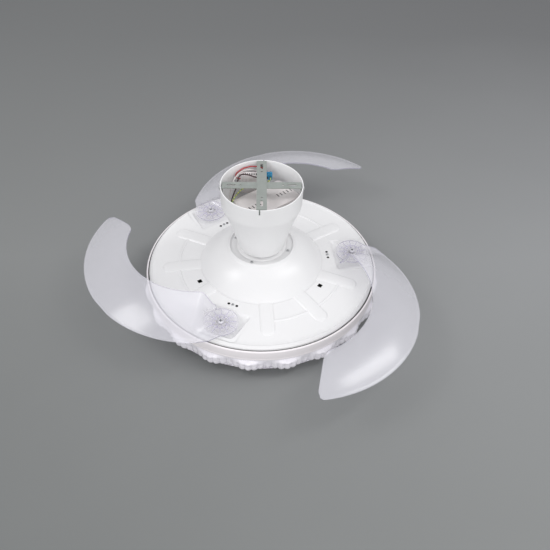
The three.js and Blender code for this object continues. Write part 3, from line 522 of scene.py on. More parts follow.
bracket = {
    "width": 20.0,
    "thickness": 1.6,
    "flange": 16.0,
    "flangeCorner": 4.0,
    "cupInside": 80.1,
    "cupGap": 0.9,
    "slot": (18.0, 5.4),
    "slotPlace": 60.0,
    "hole": 2.0,
    "holePlace": 42.0,
    "softEdge": 0.35,
    "cutReach": 3.0,
    "lowerTop": -1.9,
}


def sideHole(name, radius, place, reach):
    # a cutter along X
    turn = Matrix.Rotation(math.pi / 2, 4, "Y")
    return moved(rod(name, radius, -reach, reach), placedAt(place) @ turn)


def makeBar(name, top):
    thickness, width, flange = bracket["thickness"], bracket["width"], bracket["flange"]
    reach = math.sqrt(bracket["cupInside"] ** 2 - (width / 2) ** 2) - bracket["cupGap"]
    strip = roundedBlock(name, (2 * reach, width, thickness), middle=(0, 0, -thickness / 2))

    def atFoot(a, b):
        return abs(a.x - b.x) > 0.5 * thickness * mm and a.z < -mm and b.z < -mm

    ends = []
    for side in (-1, 1):
        middle = (side * (reach - thickness / 2), 0, -flange / 2)
        end = roundedBlock(name + "End", (thickness, width, flange), middle=middle)
        selectEdges(end, atFoot)
        bpy.ops.mesh.bevel(offset=bracket["flangeCorner"] * mm, segments=5, affect="EDGES")
        endEdit()
        ends.append(end)
    combine(strip, "UNION", *ends)
    cutters = []
    cut = bracket["cutReach"]
    for side in (-1, 1):
        slot = roundBar("slot", *bracket["slot"], cut)
        cutters.append(moved(slot, placedAt((side * bracket["slotPlace"], 0, 0))))
        cutters.append(rod("hole", bracket["hole"], -cut, cut, (side * bracket["holePlace"], 0)))
        place = (side * reach, 0, -fan["cupScrewDrop"] - top)
        cutters.append(sideHole("screwHole", fan["cupScrewHole"], place, 2 * cut))
    cutOut(strip, *cutters)
    softenEdges(strip, bracket["softEdge"])
    return moved(strip, placedAt((0, 0, top)))


upperBar = moved(makeBar("bracketBarUpper", 0), Matrix.Rotation(math.pi / 2, 4, "Z"))
finishPiece(upperBar, "ceiling_body", ["bracket_bar_upper"], "zinc_steel", zinc)
lowerBar = makeBar("bracketBarLower", bracket["lowerTop"])
finishPiece(lowerBar, "ceiling_body", ["bracket_bar_lower"], "zinc_steel", zinc)
print("bracket made")


screw = {
    "steps": 32,
    "head": 2.2,  # the head's radius and height in radii of the thread
    "rise": 1.0,
    "slotLength": 1.1,  # in radii of the head, as are the next three
    "slotWidth": 0.2,
    "recess": 0.56,
    "recessTop": 0.93,
    "canopy": (2.0, 12.0),  # radius and length, as in the next three
    "collar": (1.6, 8.0),
    "post": (1.4, 12.0),
    "blade": (3.0, 20.0),
    "collarTurn": 20,  # each screw stops at its own angle
    "postTurn": 30,
    "bladeTurn": 25,
}


def makeScrew(name, radius, length):
    # a pan head with a cross recess, standing on height 0
    head = screw["head"] * radius
    rise = screw["rise"] * radius
    profile = [
        (0, -length), (radius * 0.7, -length), (radius, -length + radius * 0.6), (radius, 0),
        (head * 0.96, 0), (head, rise * 0.15), (head * 0.97, rise * 0.45),
        (head * 0.82, rise * 0.8), (head * 0.5, rise * 0.97), (0, rise),
    ]
    body = turnedPiece(name, profile, screw["steps"])
    blades = []
    for turn in (0, 90):
        size = (head * screw["slotLength"], head * screw["slotWidth"], rise)
        blade = roundedBlock("driverSlot", size, middle=(0, 0, rise))
        blades.append(moved(blade, placedAt((0, 0, 0), turn)))
    cutOut(body, *blades)

    def inRecess(face):
        within = offAxis(face.center) < screw["recess"] * head
        return within and 0 < face.center.z < screw["recessTop"] * rise * mm

    # painted shade: the cross recess wears the dark steel finish
    coatFaces(body, screwSteel, darkSteel, inRecess)
    return body


def seatScrew(master, number, body, node, place):
    made = copyOf(master, f"{master.name}{number}")
    return finishPiece(moved(made, place), body, [f"{node}_{number}"], "screw_steel")


canopyScrew = makeScrew("canopyScrew", *screw["canopy"])
for side, number in ((1, 1), (-1, 2)):
    place = placedAt((side * (fan["cupMouth"] + seat), 0, -fan["cupScrewDrop"]))
    place = place @ Matrix.Rotation(side * math.pi / 2, 4, "Y")
    seatScrew(canopyScrew, number, "ceiling_body", "canopy_screw", place)
bpy.data.objects.remove(canopyScrew)

collarScrew = makeScrew("collarScrew", *screw["collar"])
collarPlaces = []
for i in range(fan["collarScrews"]):
    azimuth = fan["collarScrewAzimuth"] + 360 / fan["collarScrews"] * i
    height = fan["collarTop"] - fan["collarRecess"] + seat
    collarPlaces.append(spot(fan["collarScrewCircle"], azimuth, height))
    place = placedAt(collarPlaces[i], screw["collarTurn"] * i)
    seatScrew(collarScrew, i + 1, "rotor", "collar_screw", place)
bpy.data.objects.remove(collarScrew)

postScrew = makeScrew("postScrew", *screw["post"])
bladeScrew = makeScrew("bladeScrew", *screw["blade"])
for i, azimuth in enumerate(fan["bladeAzimuths"]):
    post = spot(fan["holeCircle"], azimuth, fan["discFlat"] + seat)
    seatScrew(postScrew, i + 1, "rotor", "post_screw", placedAt(post, screw["postTurn"] * i))
    height = fan["discFlat"] + fan["hubTop"] + seat
    place = placedAt(spot(fan["pivotRadius"], azimuth, height), azimuth + screw["bladeTurn"])
    made = seatScrew(bladeScrew, i + 1, f"blade_unit_{i + 1}", "blade_screw", place)
    made.data.materials[0] = screwPlated.material
bpy.data.objects.remove(postScrew)
bpy.data.objects.remove(bladeScrew)
print("screws made")


cup = {
    "steps": 144,
    "height": 152.0,
    "mouth": fan["cupMouth"],
    "bandHeight": 43.0,
    "bandRows": (0, 4, 12, 25, 38),
    "slopeRows": 20,
    "bandTaper": 0.9,
    "foot": 49.0,
    "waist": 2.4,
    "wall": 2.0,
    "floor": 2.5,
    "bore": 8.3,
    "notch": (2.6, 16.0, 12.0),
    "notchPlace": (4.0, 80.0),
    "holeReach": 6.0,
    "softEdge": 0.6,
}


def cupRadius(depth):
    bandFoot = cup["mouth"] - cup["bandTaper"]
    if depth <= cup["bandHeight"]:
        return cup["mouth"] - cup["bandTaper"] * depth / cup["bandHeight"]
    share = (depth - cup["bandHeight"]) / (cup["height"] - cup["bandHeight"])
    return lerp(bandFoot, cup["foot"], share) - cup["waist"] * math.sin(math.pi * share)


rows, slopeHeight = cup["slopeRows"], cup["height"] - cup["bandHeight"]
slope = [cup["bandHeight"] + slopeHeight * i / rows for i in range(rows + 1)]
depths = [*cup["bandRows"], *slope]
outer = [(cupRadius(d), -d) for d in depths]
innerFloor = cup["height"] - cup["floor"]
inner = [(cupRadius(min(d, innerFloor)) - cup["wall"], -min(d, innerFloor)) for d in depths]
profile = [(cup["bore"], -innerFloor), *reversed(inner), *outer, (cup["bore"], -cup["height"])]
canopyCup = turnedPiece("canopyCup", [*profile, profile[0]], cup["steps"])
notches = []
width, length, depth = cup["notch"]
for side in (-1, 1):
    at = [side * place for place in cup["notchPlace"]]
    notches.append(roundedBlock("notch", (width, length, 2 * depth), middle=(*at, 0)))
    place = (side * (cup["mouth"] - cup["wall"]), 0, -fan["cupScrewDrop"])
    notches.append(sideHole("hole", fan["cupScrewHole"], place, cup["holeReach"]))
cutOut(canopyCup, *notches)
softenEdges(canopyCup, cup["softEdge"], 3, 35)
finishPiece(canopyCup, "ceiling_body", ["canopy_cup"], "white_paint", paintWhite, angle=35)
print("cup made")


receiver = {
    "size": (118.0, 72.0, 20.0),
    "lid": 5.0,
    "corner": 8.0,
    "turn": 37.0,
    "offset": 11.0,
    "shift": 4.5,
    "top": -29.0,
    "step": 2.0,
    "stepPlace": 4.0,
    "slots": 5,
    "pitch": 8.0,
    "slot": (1.8, 9.0),
    "slotInset": 4.5,
    "slotPlace": -7.0,
    "slotCorner": 0.6,
    "cut": 20.0,
    "wall": 1.6,
    "leadPlaces": (24.0, 17.0, 10.0),
    "leadDrop": 12.5,
    "leadHole": (1.6, 4.0),
}
length, width, height = receiver["size"]
turn = receiver["turn"]
receiverMiddle = spot(receiver["offset"], turn - 90) + spot(receiver["shift"], turn)
receiverPlace = placedAt(receiverMiddle, turn)
lidMiddle = receiver["top"] - receiver["lid"] / 2
lidSize = (length, width, receiver["lid"])
lid = roundedBlock("receiverLid", lidSize, receiver["corner"], (0, 0, lidMiddle), 8)
stepMiddle = (0, receiver["stepPlace"] + width / 2, receiver["top"])
cutOut(lid, roundedBlock("step", (2 * length, width, 2 * receiver["step"]), middle=stepMiddle))
softenEdges(lid, 0.7, 3)
slots, slotPlaces = [], []
across, along = receiver["slot"]
size = (across, along, receiver["cut"])
for side in (-1, 1):
    for i in range(receiver["slots"]):
        outward = length / 2 - receiver["slotInset"] - i * receiver["pitch"]
        at = (side * outward, receiver["slotPlace"], lidMiddle)
        slots.append(roundedBlock("vent", size, receiver["slotCorner"], at))
        slotPlaces.append(at)
cutOut(lid, *slots)
reach = (across * 0.6, along * 0.55)
# painted shade on the walls of the lid's vent slots
coatFaces(lid, boxWhite, insideShadeAndBoard, lambda face: nearAny(face, slotPlaces, reach))
finishPiece(moved(lid, receiverPlace), "ceiling_body", ["receiver_lid"], "white_plastic")

tubTop = receiver["top"] - receiver["lid"] - seat
tubBottom = receiver["top"] - height
tubSize = (length, width, tubTop - tubBottom)
tub = roundedBlock("receiverBox", tubSize, receiver["corner"], (0, 0, (tubTop + tubBottom) / 2), 8)
selectFaces(tub, lambda face: face.normal.z > 0.9)
bpy.ops.mesh.inset(thickness=receiver["wall"] * mm, depth=0)
dig = -(tubTop - tubBottom - receiver["wall"]) * mm
bpy.ops.mesh.extrude_region_move(TRANSFORM_OT_translate={"value": (0, 0, dig)})
endEdit()
leadHoles = []
leadHeight = receiver["top"] - receiver["leadDrop"]
radius, reach = receiver["leadHole"]
for place in receiver["leadPlaces"]:
    leadHoles.append(sideHole("leadHole", radius, (-length / 2, place, leadHeight), reach))
cutOut(tub, *leadHoles)
softenEdges(tub, 0.4, 2)


def inTub(face):
    inLength = abs(face.center.x) < (length / 2 - receiver["wall"] + 0.1) * mm
    inWidth = abs(face.center.y) < (width / 2 - receiver["wall"] + 0.1) * mm
    return inLength and inWidth and face.center.z > (tubBottom + 1) * mm


# painted shade on the box's inner walls; on its floor the dark finish stands for a circuit board
coatFaces(tub, boxWhite, insideShadeAndBoard, inTub)
finishPiece(moved(tub, receiverPlace), "ceiling_body", ["receiver_box"], "white_plastic")

driver = {
    "size": (46.0, 13.0, 44.0),
    "place": (-20.0, 52.0),
    "top": -13.0,
    "corner": 2.0,
    "vents": 9,
    "pitch": 4.4,
    "vent": (1.9, 6.5, 24.0),
    "ventCorner": 0.5,
    "ventShift": -1.2,
    "ventReach": (1.2, 3.6),
    "seam": (9.0, 1.2, 14.0),
    "seamPitch": 14.0,
    "seamDrop": 16.0,
}
width, height = driver["size"][1:]
x, y = driver["place"]
middle = (x, y, driver["top"] - height / 2)
driverBox = roundedBlock("lightDriver", driver["size"], driver["corner"], middle)
vents, ventPlaces = [], []
for i in range(driver["vents"]):
    along = (i - (driver["vents"] - 1) / 2) * driver["pitch"]
    at = (x + along, y + driver["ventShift"], driver["top"])
    vents.append(roundedBlock("vent", driver["vent"], driver["ventCorner"], at))
    ventPlaces.append(at)
for i in (-1, 0, 1):
    at = (x + driver["seamPitch"] * i, y - width / 2, driver["top"] - driver["seamDrop"])
    vents.append(roundedBlock("seam", driver["seam"], middle=at))
cutOut(driverBox, *vents)
softenEdges(driverBox, 0.3, 2)
reach = driver["ventReach"]
# painted shade on the walls of the driver's vents
coatFaces(driverBox, boxWhite, insideShadeAndBoard, lambda face: nearAny(face, ventPlaces, reach))
finishPiece(driverBox, "ceiling_body", ["light_driver"], "white_plastic")

terminal = {
    "size": (14.0, 12.0, 12.0),
    "place": (14.5, 50.0),
    "top": -10.0,
    "corner": 0.8,
    "port": 3.0,
    "well": (1.9, 2.5),
    "wellShift": -2.0,
    "groove": (1.0, 9.0, 3.0),
}
length, width, height = terminal["size"]
x, y = terminal["place"]
port, terminalTop = terminal["port"], terminal["top"]
terminalMiddle = terminalTop - height / 2
middle = (x, y, terminalMiddle)
connector = roundedBlock("wireConnector", terminal["size"], terminal["corner"], middle)
ports = []
radius, deep = terminal["well"]
for side in (-1, 1):
    at = x + side * length / 4
    ports.append(roundedBlock("port", (port, 2 * width, port), middle=(at, y, terminalMiddle)))
    well = (at, y + terminal["wellShift"])
    ports.append(rod("screwWell", radius, terminalTop - deep, terminalTop + 1, well))
ports.append(roundedBlock("groove", terminal["groove"], middle=(x, y, terminalTop)))
cutOut(connector, *ports)
softenEdges(connector, 0.35, 2)
finishPiece(connector, "ceiling_body", ["wire_connector"], "blue_plastic", bluePlastic)

wires = {
    "radius": 1.3,
    "lead": 4.0,
    "driverEntry": (-43.3, 52.0, -25.0),
    "routes": {
        "wire_red": [[2, 66, -9], [-14, 70, -7.5], [-30, 67, -7.5], [-44, 61, -11], [-53, 54, -19]],
        "wire_white": [
            [14, 65.5, -17.5], [-2, 65.5, -16.5], [-20, 63.5, -11], [-37, 57, -9.5], [-50, 42, -11],
            [-58, 24, -14], [-62, 6, -20], [-64, -10, -29], [-62, -22, -37],
        ],
        "wire_black": [
            [2, 35, -12], [-14, 38, -10.5], [-30, 44, -9], [-42, 44, -10], [-48, 29, -12.5],
            [-51, 12, -18], [-57, -6, -25], [-60, -22, -32], [-56, -34, -39.5],
        ],
        "wire_earth": [
            [12, 32, -18], [-4, 26, -20], [-22, 20, -20], [-38, 12, -21], [-48, 0, -23.5],
            [-55, -14, -25.5], [-59, -31, -31], [-54, -41, -39],
        ],
    },
}


def makeWire(name, points, radius):
    # a tube through the points, closed at its ends
    path = bpy.data.curves.new(name, "CURVE")
    path.dimensions = "3D"
    path.bevel_depth = radius * mm
    path.bevel_resolution = 3
    path.resolution_u = 8
    path.use_fill_caps = True
    line = path.splines.new("BEZIER")
    line.bezier_points.add(len(points) - 1)
    for knot, point in zip(line.bezier_points, points):
        knot.co = [c * mm for c in point]
        knot.handle_left_type = knot.handle_right_type = "AUTO"
    made = bpy.data.objects.new(name, path)
    bpy.context.collection.objects.link(made)
    makeActive(made)
    bpy.ops.object.convert(target="MESH")
    tube = bpy.context.object
    closeUp(tube)
    return tube


def receiverEntry(place):
    across = spot(place, receiver["turn"] + 90)
    along = spot(receiver["size"][0] / 2 + seat, receiver["turn"] + 180)
    entry = receiverMiddle + across + along
    return Vector((entry.x, entry.y, leadHeight))


away = spot(wires["lead"], receiver["turn"] + 180)
left = Vector((-wires["lead"], 0, 0))
entries = [receiverEntry(place) for place in receiver["leadPlaces"]]
wireEnds = {
    "wire_red": (-1, 1, Vector(wires["driverEntry"]), left, redWire, "red_wire"),
    "wire_white": (1, 1, entries[0], away, whiteWire, "white_wire"),
    "wire_black": (-1, -1, entries[1], away, blackWire, "black_wire"),
    "wire_earth": (1, -1, entries[2], away, earthWire, "earth_wire"),
}
for node, (across, along, goal, back, finish, slotName) in wireEnds.items():
    start = Vector((x + across * length / 4, y + along * (width / 2 + seat), terminalMiddle))
    lead = start + Vector((0, along * wires["lead"], 0))
    points = [start, lead, *wires["routes"][node], goal + back, goal]
    tube = makeWire(node.replace("wire_", "") + "Wire", points, wires["radius"])
    finishPiece(tube, "ceiling_body", [node], slotName, finish, angle=50)
print("receiver, driver, connector and wires made")


dome = {
    "steps": 192,
    "collar": 70.0,
    "collarLean": 4.0,
    "collarRim": 3.0,
    "groove": (51.0, 0.5, 53.4),
    "height": 49.5,
    "foot": 132.7,
    "footLean": 2.0,
    "footHeight": 3.0,
    "bulge": 5.0,
    "wall": 2.2,
    "bore": 24.0,
    "slopeRows": 24,
    "fillet": (1.2, 0.8),
    "screwHole": 1.95,
    "softEdge": 0.25,
}
top, wall, bore, collar = fan["collarTop"], dome["wall"], dome["bore"], dome["collar"]
recess = top - fan["collarRecess"]
footTop = dome["height"] - dome["footHeight"]
slope = []
for i in range(dome["slopeRows"] + 1):
    t = i / dome["slopeRows"]
    radius = lerp(collar + dome["collarLean"], dome["foot"] - dome["footLean"], t)
    drop = lerp(fan["collarRecess"], footTop, t)
    slope.append((radius, top - drop + dome["bulge"] * math.sin(math.pi * t)))
plateEdge = collar - dome["collarRim"]
under = [(r - 0.6 * wall, z - wall) for r, z in reversed(slope)]
bottom = fan["discFlat"] + seat
grooveIn, sunk, grooveOut = dome["groove"]
foot, crest = dome["fillet"]
profile = [
    (bore, recess - wall), (bore, recess), (grooveIn, recess), (grooveIn + 0.6, recess - sunk),
    (grooveOut - 0.6, recess - sunk), (grooveOut, recess), (plateEdge - foot, recess),
    (plateEdge, recess + foot), (plateEdge, top - crest), (plateEdge + crest, top),
    (collar - crest, top), (collar, top - crest), *slope, (dome["foot"], bottom),
    (dome["foot"] - 1.6 * wall, bottom), *under[:-1], (plateEdge, recess - wall),
    (bore, recess - wall),
]
coverDome = turnedPiece("motorCoverDome", profile, dome["steps"])
holes = [rod("hole", dome["screwHole"], recess - 11, top + 4, place[:2]) for place in collarPlaces]
cutOut(coverDome, *holes)
softenEdges(coverDome, dome["softEdge"], 2, 40)
finishPiece(coverDome, "rotor", ["motor_cover_dome"], "white_plastic", plasticWhite, angle=40)
print("dome made")


disc = {
    "steps": 288,
    "bore": 66.3,
    "flat": 152.0,
    "fall": 5.0,
    "slopeEnd": 236.0,
    "thickness": 2.5,
    "softEdge": 0.5,
    "cut": 20.0,
    "bushHole": 12.6,
    "postHole": 1.75,
    "holeReach": (6.5, 6.5),
    "pocketFloor": 6.2,
    "tubTop": -2.0,
    "tubWall": 3.5,
    "pocketNear": (156.0, 52.0),
    "pocketFar": (233.0, 41.0),
    "pocketWall": 8.0,
    "pocketCorner": 7.0,
    "ribReach": (118.0, 213.0),  # the inner ends run in under the dome
    "ribWidth": 28.0,
    "ribHeight": 2.4,
    "ribStep": 32.75,
    "arcRib": (178.0, 5.0),
    "square": 9.0,
    "squareCorner": 0.6,
    "squareAzimuth": 80.8,
    "pairHole": 2.9,
    "pairSpread": 8.9,
}
level = fan["discFlat"]


def discTop(radius):
    # height of the disc's top over its flat part
    share = (radius - disc["flat"]) / (disc["slopeEnd"] - disc["flat"])
    return -disc["fall"] * min(max(share, 0), 1)


def pocketForm(name, margin, bottom, top, wall):
    # a trapezium with rounded corners; its sides lean outwards by the wall
    near, nearHalf = disc["pocketNear"]
    far, farHalf = disc["pocketFar"]
    deselectAll()
    bpy.ops.mesh.primitive_cube_add(size=1)
    form = bpy.context.object
    form.name = name
    for point in form.data.vertices:
        sign = math.copysign(1, point.co.y)
        lean = -wall if point.co.z < 0 else 0
        if point.co.x < 0:
            x, y = near - margin - lean, nearHalf + margin + lean
        else:
            x, y = far + margin + lean, farHalf + margin + lean
        point.co = (x * mm, sign * y * mm, (bottom if point.co.z < 0 else top) * mm)
    selectEdges(form, lambda a, b: abs(a.z - b.z) > 0.5 * (top - bottom) * mm)
    bpy.ops.mesh.bevel(offset=disc["pocketCorner"] * mm, segments=6, affect="EDGES")
    endEdit()
    return form


thickness = disc["thickness"]
section = [
    (disc["bore"], 0), (100, 0), (130, 0), (disc["flat"], 0), (disc["flat"] + 0.8, -0.08),
    *[(r, discTop(r)) for r in (165, 180, 195, 210, 225, disc["slopeEnd"])],
    (236.8, -4.4), (237.6, -3.7), (238.2, -3.5), (239.0, -3.9), (240.2, -5.0), (242.2, -6.9),
    (243.3, -8.2), (243.6, -9.2), (243.6, -13), (241.1, -13), (241.1, -9.5), (238, -7.5),
    (disc["flat"], -thickness), (disc["bore"], -thickness), (disc["bore"], 0),
]
discPlate = turnedPiece("rotorDisc", [(r, z + level) for r, z in section], disc["steps"])
tubs, pockets, holes, holePlaces = [], [], [], []
floor, wall, cut = disc["pocketFloor"], disc["pocketWall"], disc["cut"]
for azimuth in fan["bladeAzimuths"]:
    turn = placedAt((0, 0, level), azimuth)
    tub = pocketForm("tub", thickness, -floor - thickness, disc["tubTop"], disc["tubWall"])
    tubs.append(moved(tub, turn))
    pockets.append(moved(pocketForm("pocket", 0, -floor, -floor + wall, wall), turn))
    pivot, post = spot(fan["pivotRadius"], azimuth), spot(fan["holeCircle"], azimuth)
    holes.append(rod("bushHole", disc["bushHole"], level - cut, level + cut, pivot[:2], 48))
    holes.append(rod("postHole", disc["postHole"], level - cut, level + cut, post[:2]))
    for side in (-1, 1):
        place = Vector((fan["holeCircle"], side * disc["pairSpread"], 0))
        holes.append(moved(rod("pairHole", disc["pairHole"], -cut, cut, place[:2]), turn))
        holePlaces.append(turn @ (place * mm) / mm)
    at = azimuth + disc["squareAzimuth"]
    holePlaces.append(spot(fan["holeCircle"], at))
    square = roundedBlock("square", (disc["square"], disc["square"], 2 * cut), disc["squareCorner"])
    holes.append(moved(square, placedAt(spot(fan["holeCircle"], at, level), at)))
combine(discPlate, "UNION", *tubs)
cutOut(discPlate, *pockets)
cutOut(discPlate, *holes)
softenEdges(discPlate, disc["softEdge"], 3, 28)
reach = disc["holeReach"]
# painted shade on the walls of the disc's holes
coatFaces(discPlate, plasticWhite, paintedHoleShade, lambda face: nearAny(face, holePlaces, reach))
finishPiece(discPlate, "rotor", ["rotor_disc"], "white_plastic", angle=35)
print("disc made")


def followDisc(piece):
    # a form made on height 0 is laid on the disc's slope
    for point in piece.data.vertices:
        point.co.z += (level + discTop(offAxis(point.co))) * mm
    piece.data.update()
    return piece


def makeRib(name):
    # rings drawn in from a circle give the soft foot and the round shoulder, then the halves part
    half, height, steps = disc["ribWidth"] / 2, disc["ribHeight"], 48
    rows = [
        (half + 2.6, -0.6), (half + 1.6, 0.02), (half + 0.6, 0.25 * height),
        (half - 0.3, 0.6 * height), (half - 1.2, 0.86 * height), (half - 2.6, height),
    ]
    rib = turnedPiece(name, rows, steps)
    moved(rib, Matrix.Rotation(math.pi / steps, 4, "Z"))
    inner, outer = disc["ribReach"]
    apart = (outer - inner - disc["ribWidth"]) / 2 * mm
    for point in rib.data.vertices:
        point.co.x += math.copysign(apart, point.co.x)
    # the flat top is bridged across, then cut along its length so that it can follow the disc
    selectEdges(rib, lambda a, b: min(a.z, b.z) > (height - 0.01) * mm)
    bpy.ops.mesh.edge_face_add()
    endEdit()
    for place in range(-30, 31, 6):
        startEdit(rib, "SELECT")
        bpy.ops.mesh.bisect(plane_co=(place * mm, 0, 0), plane_no=(1, 0, 0))
        endEdit()
    closeUp(rib)
    return rib


ribs = []
ribMaster = makeRib("ribMaster")
span = disc["ribStep"]
radius, width = disc["arcRib"]
half = width / 2
rows = [
    (half + 1.2, -0.4), (half + 0.6, 0.02), (half + 0.1, 0.5), (half - 0.5, 1.3), (half - 1.4, 1.7),
]
arcProfile = [(radius - r, z) for r, z in rows] + [(radius + r, z) for r, z in reversed(rows)]
for azimuth in fan["bladeAzimuths"]:
    between = azimuth + 60
    for step in (-1, 0, 1):
        turn = between + step * span
        rib = copyOf(ribMaster, "rib")
        middle = sum(disc["ribReach"]) / 2
        ribs.append(followDisc(moved(rib, placedAt(spot(middle, turn), turn))))
    # the low arc that joins the three ribs
    arc = turnedPiece("arc", arcProfile, disc["steps"])

    def outsideSpan(face):
        at = math.degrees(math.atan2(face.center.y, face.center.x))
        return (at - between + span) % 360 >= 2 * span + 1

    selectFaces(arc, outsideSpan)
    bpy.ops.mesh.delete(type="FACE")
    endEdit()
    ribs.append(followDisc(arc))
bpy.data.objects.remove(ribMaster)
discRibs = joined(*ribs)
discRibs.name = "discRibs"
finishPiece(discRibs, "rotor", [], "white_plastic", plasticWhite, angle=60)
print("ribs made")


rim = {"steps": 288, "wall": 4.0, "foot": (6.0, 2.0), "trayTop": -233.5}
rimTop, rimBottom = fan["rimTop"], fan["rimBottom"]
outside, inside = fan["bodyRadius"], fan["bodyRadius"] - rim["wall"]
footWidth, footHeight = rim["foot"]
footEdge, footBottom = inside - footWidth, rim["trayTop"] + seat
profile = [
    (footEdge, footBottom), (inside, footBottom), (inside, rimBottom), (outside - 0.4, rimBottom),
    (outside, rimBottom + 0.4), (outside, rimBottom + 3.0), (outside - 0.5, rimBottom + 3.5),
    (outside - 0.5, rimBottom + 4.3), (outside, rimBottom + 4.8), (outside, rimTop - 2.2),
    (outside - 0.35, rimTop - 1.1), (outside - 1.1, rimTop - 0.3), (outside - 1.9, rimTop),
    (inside + 0.5, rimTop), (inside, rimTop - 0.5), (inside, footBottom + footHeight),
    (footEdge, footBottom + footHeight), (footEdge, footBottom),
]
outerRim = turnedPiece("outerRim", profile, rim["steps"])


def inGap(face):
    # painted shade: the deep gap beside the disc is painted dark to its bottom
    deep = face.center.z < (rimTop - 1) * mm
    return deep and offAxis(face.center) < inside + 0.05


# the rim wears its brightened white as painted light, with painted shade in the gap
coatFaces(outerRim, litRimWhite, paintedHoleShade, inGap)
finishPiece(outerRim, "ceiling_body", ["outer_rim"], "white_plastic", angle=40)
print("rim made")


shade = {
    "steps": 1200,
    "height": 48.0,
    "wall": 3.0,
    "lip": 239.7,
    "lobes": 20,
    "lobeDepth": 4.0,
    "bulge": 3.6,
    "lobeAzimuth": 246.0,
    "scallops": 6,  # in each lobe
    "scallopDepth": 3.0,
    "sideRows": (0, 0.8, 2, 4, 6, 8, 10.5, 13, 16, 19),
    "widest": 8.0,
    "turnIn": (7.6, 12.0),  # the ellipse that the side turns in by
}
top, wall, lip = fan["shadeTop"], shade["wall"], shade["lip"]
outer = fan["bodyRadius"] - 0.6
side = []
for drop in shade["sideRows"]:
    side.append((outer + shade["bulge"] * smooth(drop / shade["widest"]), top - drop))
across, down = shade["turnIn"]
for i in range(1, 7):
    turn = math.radians(15 * i)
    radius = outer + shade["bulge"] - across * (1 - math.cos(turn))
    side.append((radius, top - drop - down * math.sin(turn)))
floor = top - shade["height"]
side += [(238, floor + 12.2), (230, floor + 7.5), (218, floor + 4.0)]
side += [(199.5, floor + 1.5), (150, floor + 0.9)]
wallInner = outer - 4.3
profile = [
    (0, floor + wall), (150, floor + 3.9), (199.5, floor + 4.5), (226, floor + 10),
    (240, floor + 16), (wallInner, top - 26), (wallInner, top - 10), (wallInner, top - wall),
    (lip, top - wall), (lip, top), *side, (0, floor),
]
scallopedShade = turnedPiece("scallopedShade", profile, shade["steps"])
# lobes and their small scallops, moved point by point, as no operator draws them
for point in scallopedShade.data.vertices:
    x, y, z = point.co / mm
    radius = math.hypot(x, y)
    if radius < wallInner + 0.5 and z > floor + wall + 0.2 or radius < 160:
        continue
    azimuth = math.atan2(y, x) - math.radians(shade["lobeAzimuth"])
    swell = smooth((top - z) / shade["widest"])
    if z > top - 3.5 and radius < outer - 0.2:
        swell = 0
    inward = smooth((radius - 190) / 45)
    lobe = math.cos(shade["lobes"] * azimuth) * shade["lobeDepth"]
    scallop = abs(math.cos(shade["lobes"] * shade["scallops"] / 2 * azimuth)) ** 0.8
    dent = (scallop - 1) * shade["scallopDepth"] * smooth((top - z - 3) / 14)
    grown = 1 + (lobe * swell + dent) * inward / radius
    point.co.x *= grown
    point.co.y *= grown
wear(scallopedShade, frostedCrystal)
finishPiece(scallopedShade, "ceiling_body", ["scalloped_shade"], "frosted_acrylic", angle=28)
print("shade made")


blade = {
    "outerEdge": {
        "radius": 241.7,
        "middle": (8.5, -198.8),
        "from": 84.2,
        "to": -44.8,
        "rise": (-0.2, 21.2, -8),
    },
    "innerEdge": {
        "radius": 164.2,
        "middle": (-7.7, -210.6),
        "from": 87.2,
        "to": -28.8,
        "rise": (48.6, -11.8, 0),
    },
    "thickness": 3.0,
    "camber": 4.0,
    "rootRise": 0.085,
    "tipCorner": 16.0,
    "along": 96,
    "across": 16,
    "hubRadius": 35.0,
    "hubHeight": 4.6,
    "hubThickness": 3.0,
    "screwHole": 3.35,
    "headRoom": 9.6,
    "pegs": 8,
    "peg": 1.9,
    "pegCircle": 13.0,
    "spokes": 12,
    "spoke": (12.5, 1.3, 1.4),
    "spokeCircle": 24.5,
    "ring": (16.6, 18.0),
}


def edgePoint(edge, u):
    turn = math.radians(lerp(edge["from"], edge["to"], u))
    low, steep, bend = edge["rise"]
    x = edge["radius"] * math.cos(turn) + edge["middle"][0]
    y = edge["radius"] * math.sin(turn) + edge["middle"][1]
    return Vector((x, y, low + steep * u + bend * u * u))


def bladePoint(u, v):
    point = edgePoint(blade["outerEdge"], u).lerp(edgePoint(blade["innerEdge"], u), v)
    point.z += 4 * blade["camber"] * v * (1 - v)
    point.z = lerp(blade["hubHeight"], point.z, smooth(u / blade["rootRise"]))
    return point


def makeBladeSheet():
    # a grid bent to the blade, its tip corners drawn in round
    along, across, outerEdge = blade["along"], blade["across"], blade["outerEdge"]
    deselectAll()
    bpy.ops.mesh.primitive_grid_add(x_subdivisions=along, y_subdivisions=across, size=1)
    sheet = bpy.context.object
    sheet.name = "bladeSheet"
    tipWidth = (edgePoint(outerEdge, 1) - edgePoint(blade["innerEdge"], 1)).length
    length = math.radians(outerEdge["from"] - outerEdge["to"]) * outerEdge["radius"]
    corner = blade["tipCorner"]
    for point in sheet.data.vertices:
        u, v = point.co.x + 0.5, point.co.y + 0.5
        u = u ** 1.25 if u < 0.5 else u
        toTip = (1 - u) * length
        inset = 0.0
        if toTip < corner:
            inset = (corner - math.sqrt(max(corner ** 2 - (corner - toTip) ** 2, 0))) / tipWidth
        point.co = bladePoint(u, lerp(inset, 1 - inset, v)) * mm
    sheet.data.update()
    wear(sheet, clearSheet, clearEdge)
    settings = {"offset": 0, "material_offset_rim": 1, "use_rim": True}
    addModifier(sheet, "SOLIDIFY", thickness=blade["thickness"] * mm, **settings)
    return sheet


